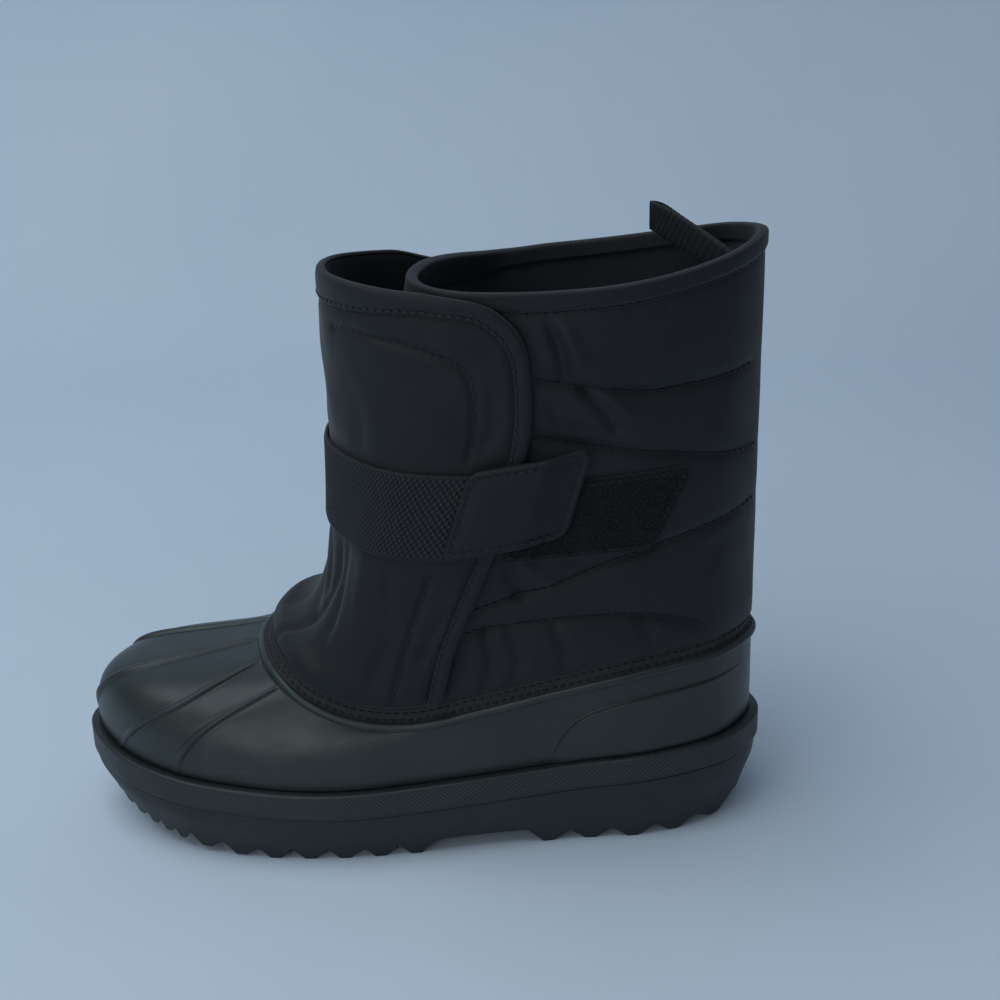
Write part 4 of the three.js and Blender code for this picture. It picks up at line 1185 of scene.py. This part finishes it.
def strap_tab():
    share, way, z, half, length = lines = plate(TAB, TAB_LINE, 90)
    high = FLAP_STANDOFF + ON_FLAP + ELASTIC["thick"] + GAP
    low = GAP + PATCH["thick"] + TAB["rest"]

    def level(at):
        """How far the underside lies over the envelope, at a share of the tab's length."""
        return high + (low - high) * smooth(at, *TAB["drop"])

    def over(_, across):
        side = TAB["half"] * (1 - np.abs(across))
        end = length * column(np.minimum(share, 1 - share))
        inside = np.minimum(side, end)
        puff = 0.5 * smooth(inside, 3, 8) - 0.35 * bell(inside, TAB["seam"], 0.8)
        return level(column(share)) + TAB["thick"] - 0.5 + puff - 0.9 * (1 - smooth(inside, 0, 1.1))

    def surface(u):
        return level((u - way[0]) / (way[-1] - way[0])) + TAB["thick"] - 0.75

    rows = strap_rows(way, z, half, TAB["slant"], 60, lambda *_: level(column(share)), over)
    skin("strap_tab", rows, tab_cloth)
    plate_stitches(lines, TAB["seam"], TAB["slant"], surface)


def loop_patch():
    share, way, z, half, _ = lines = plate(PATCH, PATCH_LINE, 110)

    def over(_, across):
        lumps = 0.12 * np.sin(share[:, None] * 130) * np.sin(across * 21)
        return GAP + PATCH["thick"] - 0.5 + lumps

    rows = strap_rows(way, z, half, PATCH["slant"], 50, lambda *_: GAP, over)
    skin("loop_patch", rows, pile)
    plate_stitches(lines, PATCH["seam"], PATCH["slant"], lambda _: GAP + PATCH["thick"] - 0.2)
    rng = np.random.default_rng(3)
    count = 2600
    at = rng.uniform(0.015, 0.985, count)
    across = rng.uniform(-0.93, 0.93, count)
    up = np.interp(at, share, half) * across
    u = np.interp(at, share, way) + up * PATCH["slant"] / GIRTH
    v = rise_to(u, np.interp(at, share, z) + up)
    centres = lifted(envelope, u, v, GAP + PATCH["thick"] - 0.6)
    away = normals(envelope, u, v)
    spin = rng.uniform(0, math.tau, count)
    first = unit(np.cross(away, UP))
    second = np.cross(away, first)
    along = first * np.cos(spin)[:, None] + second * np.sin(spin)[:, None]
    tip = unit(away + 0.3 * rng.normal(size=(count, 3)))
    frames = np.stack([along, tip, unit(np.cross(along, tip))], 1)
    template, faces = thread_loop()
    copies("loop_pile", template, faces, centres, frames, pile, rng.uniform(0.7, 1.3, count))


def thread_loop(rings=7, sides=4, radius=0.55, thick=0.09):
    """A small loop of thread that stands on a cloth: points and quads of a bent tube."""
    turn = np.linspace(-0.15 * math.pi, 1.15 * math.pi, rings)
    middle = np.stack([np.cos(turn), 0.6 + np.sin(turn), 0 * turn], -1) * radius
    away = np.stack([np.cos(turn), np.sin(turn), 0 * turn], -1)
    way = np.arange(sides) * math.tau / sides
    around_tube = np.cos(way)[:, None] * away[:, None] + np.sin(way)[:, None] * UP
    points = (middle[:, None] + thick * around_tube).reshape(-1, 3)
    first = np.arange(sides)
    caps = [first[::-1], first + len(points) - sides]
    return points, np.concatenate([tube_quads(rings, sides)[:, [0, 3, 2, 1]], caps])


# The pull loop.

WEBBING = {"width": 10, "thick": 1.3, "root": 0.885, "spread": 0.02}
LOOP_FOLD = [(0.950, 0.06, 0.936), (0.895, 0.24, 0.975), (0.852, 0.36, 1.003), (0.844, 0.42, 1.006),
             (0.854, 0.47, 1.001), (0.895, 0.38, 0.972), (0.949, 0.22, 0.934)]


def centripetal(points, share):
    """A curve through points whose knots lie further apart where the points do."""
    points = np.concatenate([[2 * points[0] - points[1]], points, [2 * points[-1] - points[-2]]])
    place = share * (len(points) - 3)
    i = min(int(place), len(points) - 4)
    a, b, c, d = points[i:i + 4]
    steps = [float(np.sum((q - p) ** 2)) ** 0.25 for p, q in ((a, b), (b, c), (c, d))]
    start = ((b - a) / steps[0] - (c - a) / (steps[0] + steps[1]) + (c - b) / steps[1]) * steps[1]
    end = ((c - b) / steps[1] - (d - b) / (steps[1] + steps[2]) + (d - c) / steps[2]) * steps[1]
    t = place - i
    return b + start * t + (-3 * b + 3 * c - 2 * start - end) * t**2 + (2 * b - 2 * c + start + end) * t**3


def pull_loop():
    def lining_point(u):
        depth = -wall_at(WEBBING["root"]) - 2 * GAP - WEBBING["thick"]
        return lifted(shaft_surface, u, WEBBING["root"], depth)

    fold = [np.array([x * LENGTH, y * BALL, z * HEIGHT]) for x, y, z in LOOP_FOLD]
    knots = np.array([lining_point(0.5), *fold, lining_point(0.5 + WEBBING["spread"])])
    count = 360
    line = np.array([centripetal(knots, share) for share in np.linspace(0, 1, count)])
    along = unit(np.gradient(line, axis=0))
    side = unit(np.cross(along, UP))
    up = unit(np.cross(side, along))
    ribs = 0.10 * np.sin(np.arange(count) * math.tau / 6)
    across = np.linspace(-1, 1, 15)
    half = WEBBING["width"] / 2
    thick = WEBBING["thick"] / 2 * (1 - 0.35 * np.abs(across) ** 6)
    face = line[:, None] + up[:, None] * (across * half)[None, :, None]
    offset = side[:, None] * (thick[None, :] + ribs[:, None])[..., None]
    rows = np.concatenate([face + offset, (face - offset)[:, ::-1]], 1)
    skin("pull_loop", rows, webbing)


def carried(name, material):
    """A CAD node that stays as it is, with its edges softened."""
    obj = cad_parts[name]
    obj.data.materials.clear()
    obj.data.materials.append(material)
    soft = obj.modifiers.new("soft_edges", "BEVEL")
    soft.width = 0.0005
    soft.segments = 2
    soft.limit_method = "ANGLE"
    soft.angle_limit = math.radians(35)
    soft.harden_normals = True


rubber_shell()
midsole()
outsole()
shaft()
collar_binding()
front_flap()
flap_binding()
elastic_strap()
strap_tab()
loop_patch()
pull_loop()
add_stitches(thread)
carried("insole", felt)


# Floor, light and camera.

FLOOR = {"front": 0.9, "back": 0.55, "wide": 3.0, "sweep": 0.25, "high": 1.3}


def backdrop():
    """A floor that turns up into a wall behind the boot."""
    turn = np.linspace(0, math.pi / 2, 24)
    reach, rise = FLOOR["sweep"] * np.sin(turn), FLOOR["sweep"] * (1 - np.cos(turn))
    line = np.array([(-FLOOR["front"], 0), *zip(FLOOR["back"] + reach, rise),
                     (FLOOR["back"] + FLOOR["sweep"], FLOOR["high"])])
    points = [(x, y, z) for x in (-FLOOR["wide"] / 2, FLOOR["wide"] / 2) for y, z in line]
    count = len(line)
    faces = np.array([(i, i + count, i + count + 1, i + 1) for i in range(count - 1)])
    made, tree, shader = new_material("backdrop_cloth", (0.69, 0.77, 0.87), 0.9)
    place = object_place(tree)
    tinted(tree, shader, noise(tree, place, 3), (0.63, 0.72, 0.83), (0.75, 0.82, 0.91))
    bumped(tree, shader, [(noise(tree, place, 5), 0.004), (noise(tree, place, 600), 2e-5)])
    floor = add_mesh("backdrop", np.array(points) * 1000 + ORIGIN, faces)
    floor.data.materials.append(made)


def area_light(name, place, target, size, power, color):
    data = bpy.data.lights.new(name, "AREA")
    data.shape = "RECTANGLE"
    data.size, data.size_y = size
    data.energy = power
    data.color = color
    light = new_object(name, data)
    light.location = place
    light.rotation_euler = (Vector(target) - Vector(place)).to_track_quat("-Z", "Y").to_euler()


LIGHTS = [
    ("sky_above", (-0.55, -0.25, 1.5), (0, 0, 0.05), (1.5, 1.3), 12.0, (0.82, 0.93, 1.0)),
    ("sky_left", (-1.4, -0.7, 0.8), (0, 0, 0.08), (0.9, 1.0), 0.8, (0.82, 0.93, 1.0)),
    ("front_fill", (-0.36, -0.95, 0.42), (-0.08, 0, 0.05), (0.7, 0.4), 1.9, (0.86, 0.95, 1.0)),
]
# The camera beside the boot: its bearing, height angle and tilt in degrees, and lengths in millimetres.
CAMERA = {"azimuth": 1.7, "elevation": 21.4, "roll": -1.7, "distance": 649.0, "focal_px": 1781.2,
          "target": (159.3, 0, 122.0)}


def camera():
    a, e = math.radians(CAMERA["azimuth"]), math.radians(CAMERA["elevation"])
    back = np.array([math.sin(a) * math.cos(e), -math.cos(a) * math.cos(e), math.sin(e)])
    place = in_row(np.array(CAMERA["target"]) + back * CAMERA["distance"])
    right = unit(np.cross(-back, UP))
    up = np.cross(right, -back)
    r = math.radians(CAMERA["roll"])
    axes = [math.cos(r) * right + math.sin(r) * up, -math.sin(r) * right + math.cos(r) * up, back]
    data = bpy.data.cameras.new("camera")
    data.sensor_width = 36
    data.lens = CAMERA["focal_px"] * data.sensor_width / 1000
    made = new_object("camera", data)
    made.matrix_world = Matrix.Translation(Vector(place)) @ Matrix(np.array(axes).T.tolist()).to_4x4()
    bpy.context.scene.camera = made


backdrop()
for light in LIGHTS:
    area_light(*light)
camera()

world = bpy.data.worlds.new("world")
world.use_nodes = True
world.node_tree.nodes["Background"].inputs["Color"].default_value = (0.70, 0.84, 1.0, 1)
world.node_tree.nodes["Background"].inputs["Strength"].default_value = 0.16
bpy.context.scene.world = world
bpy.context.scene.view_settings.view_transform = "Standard"
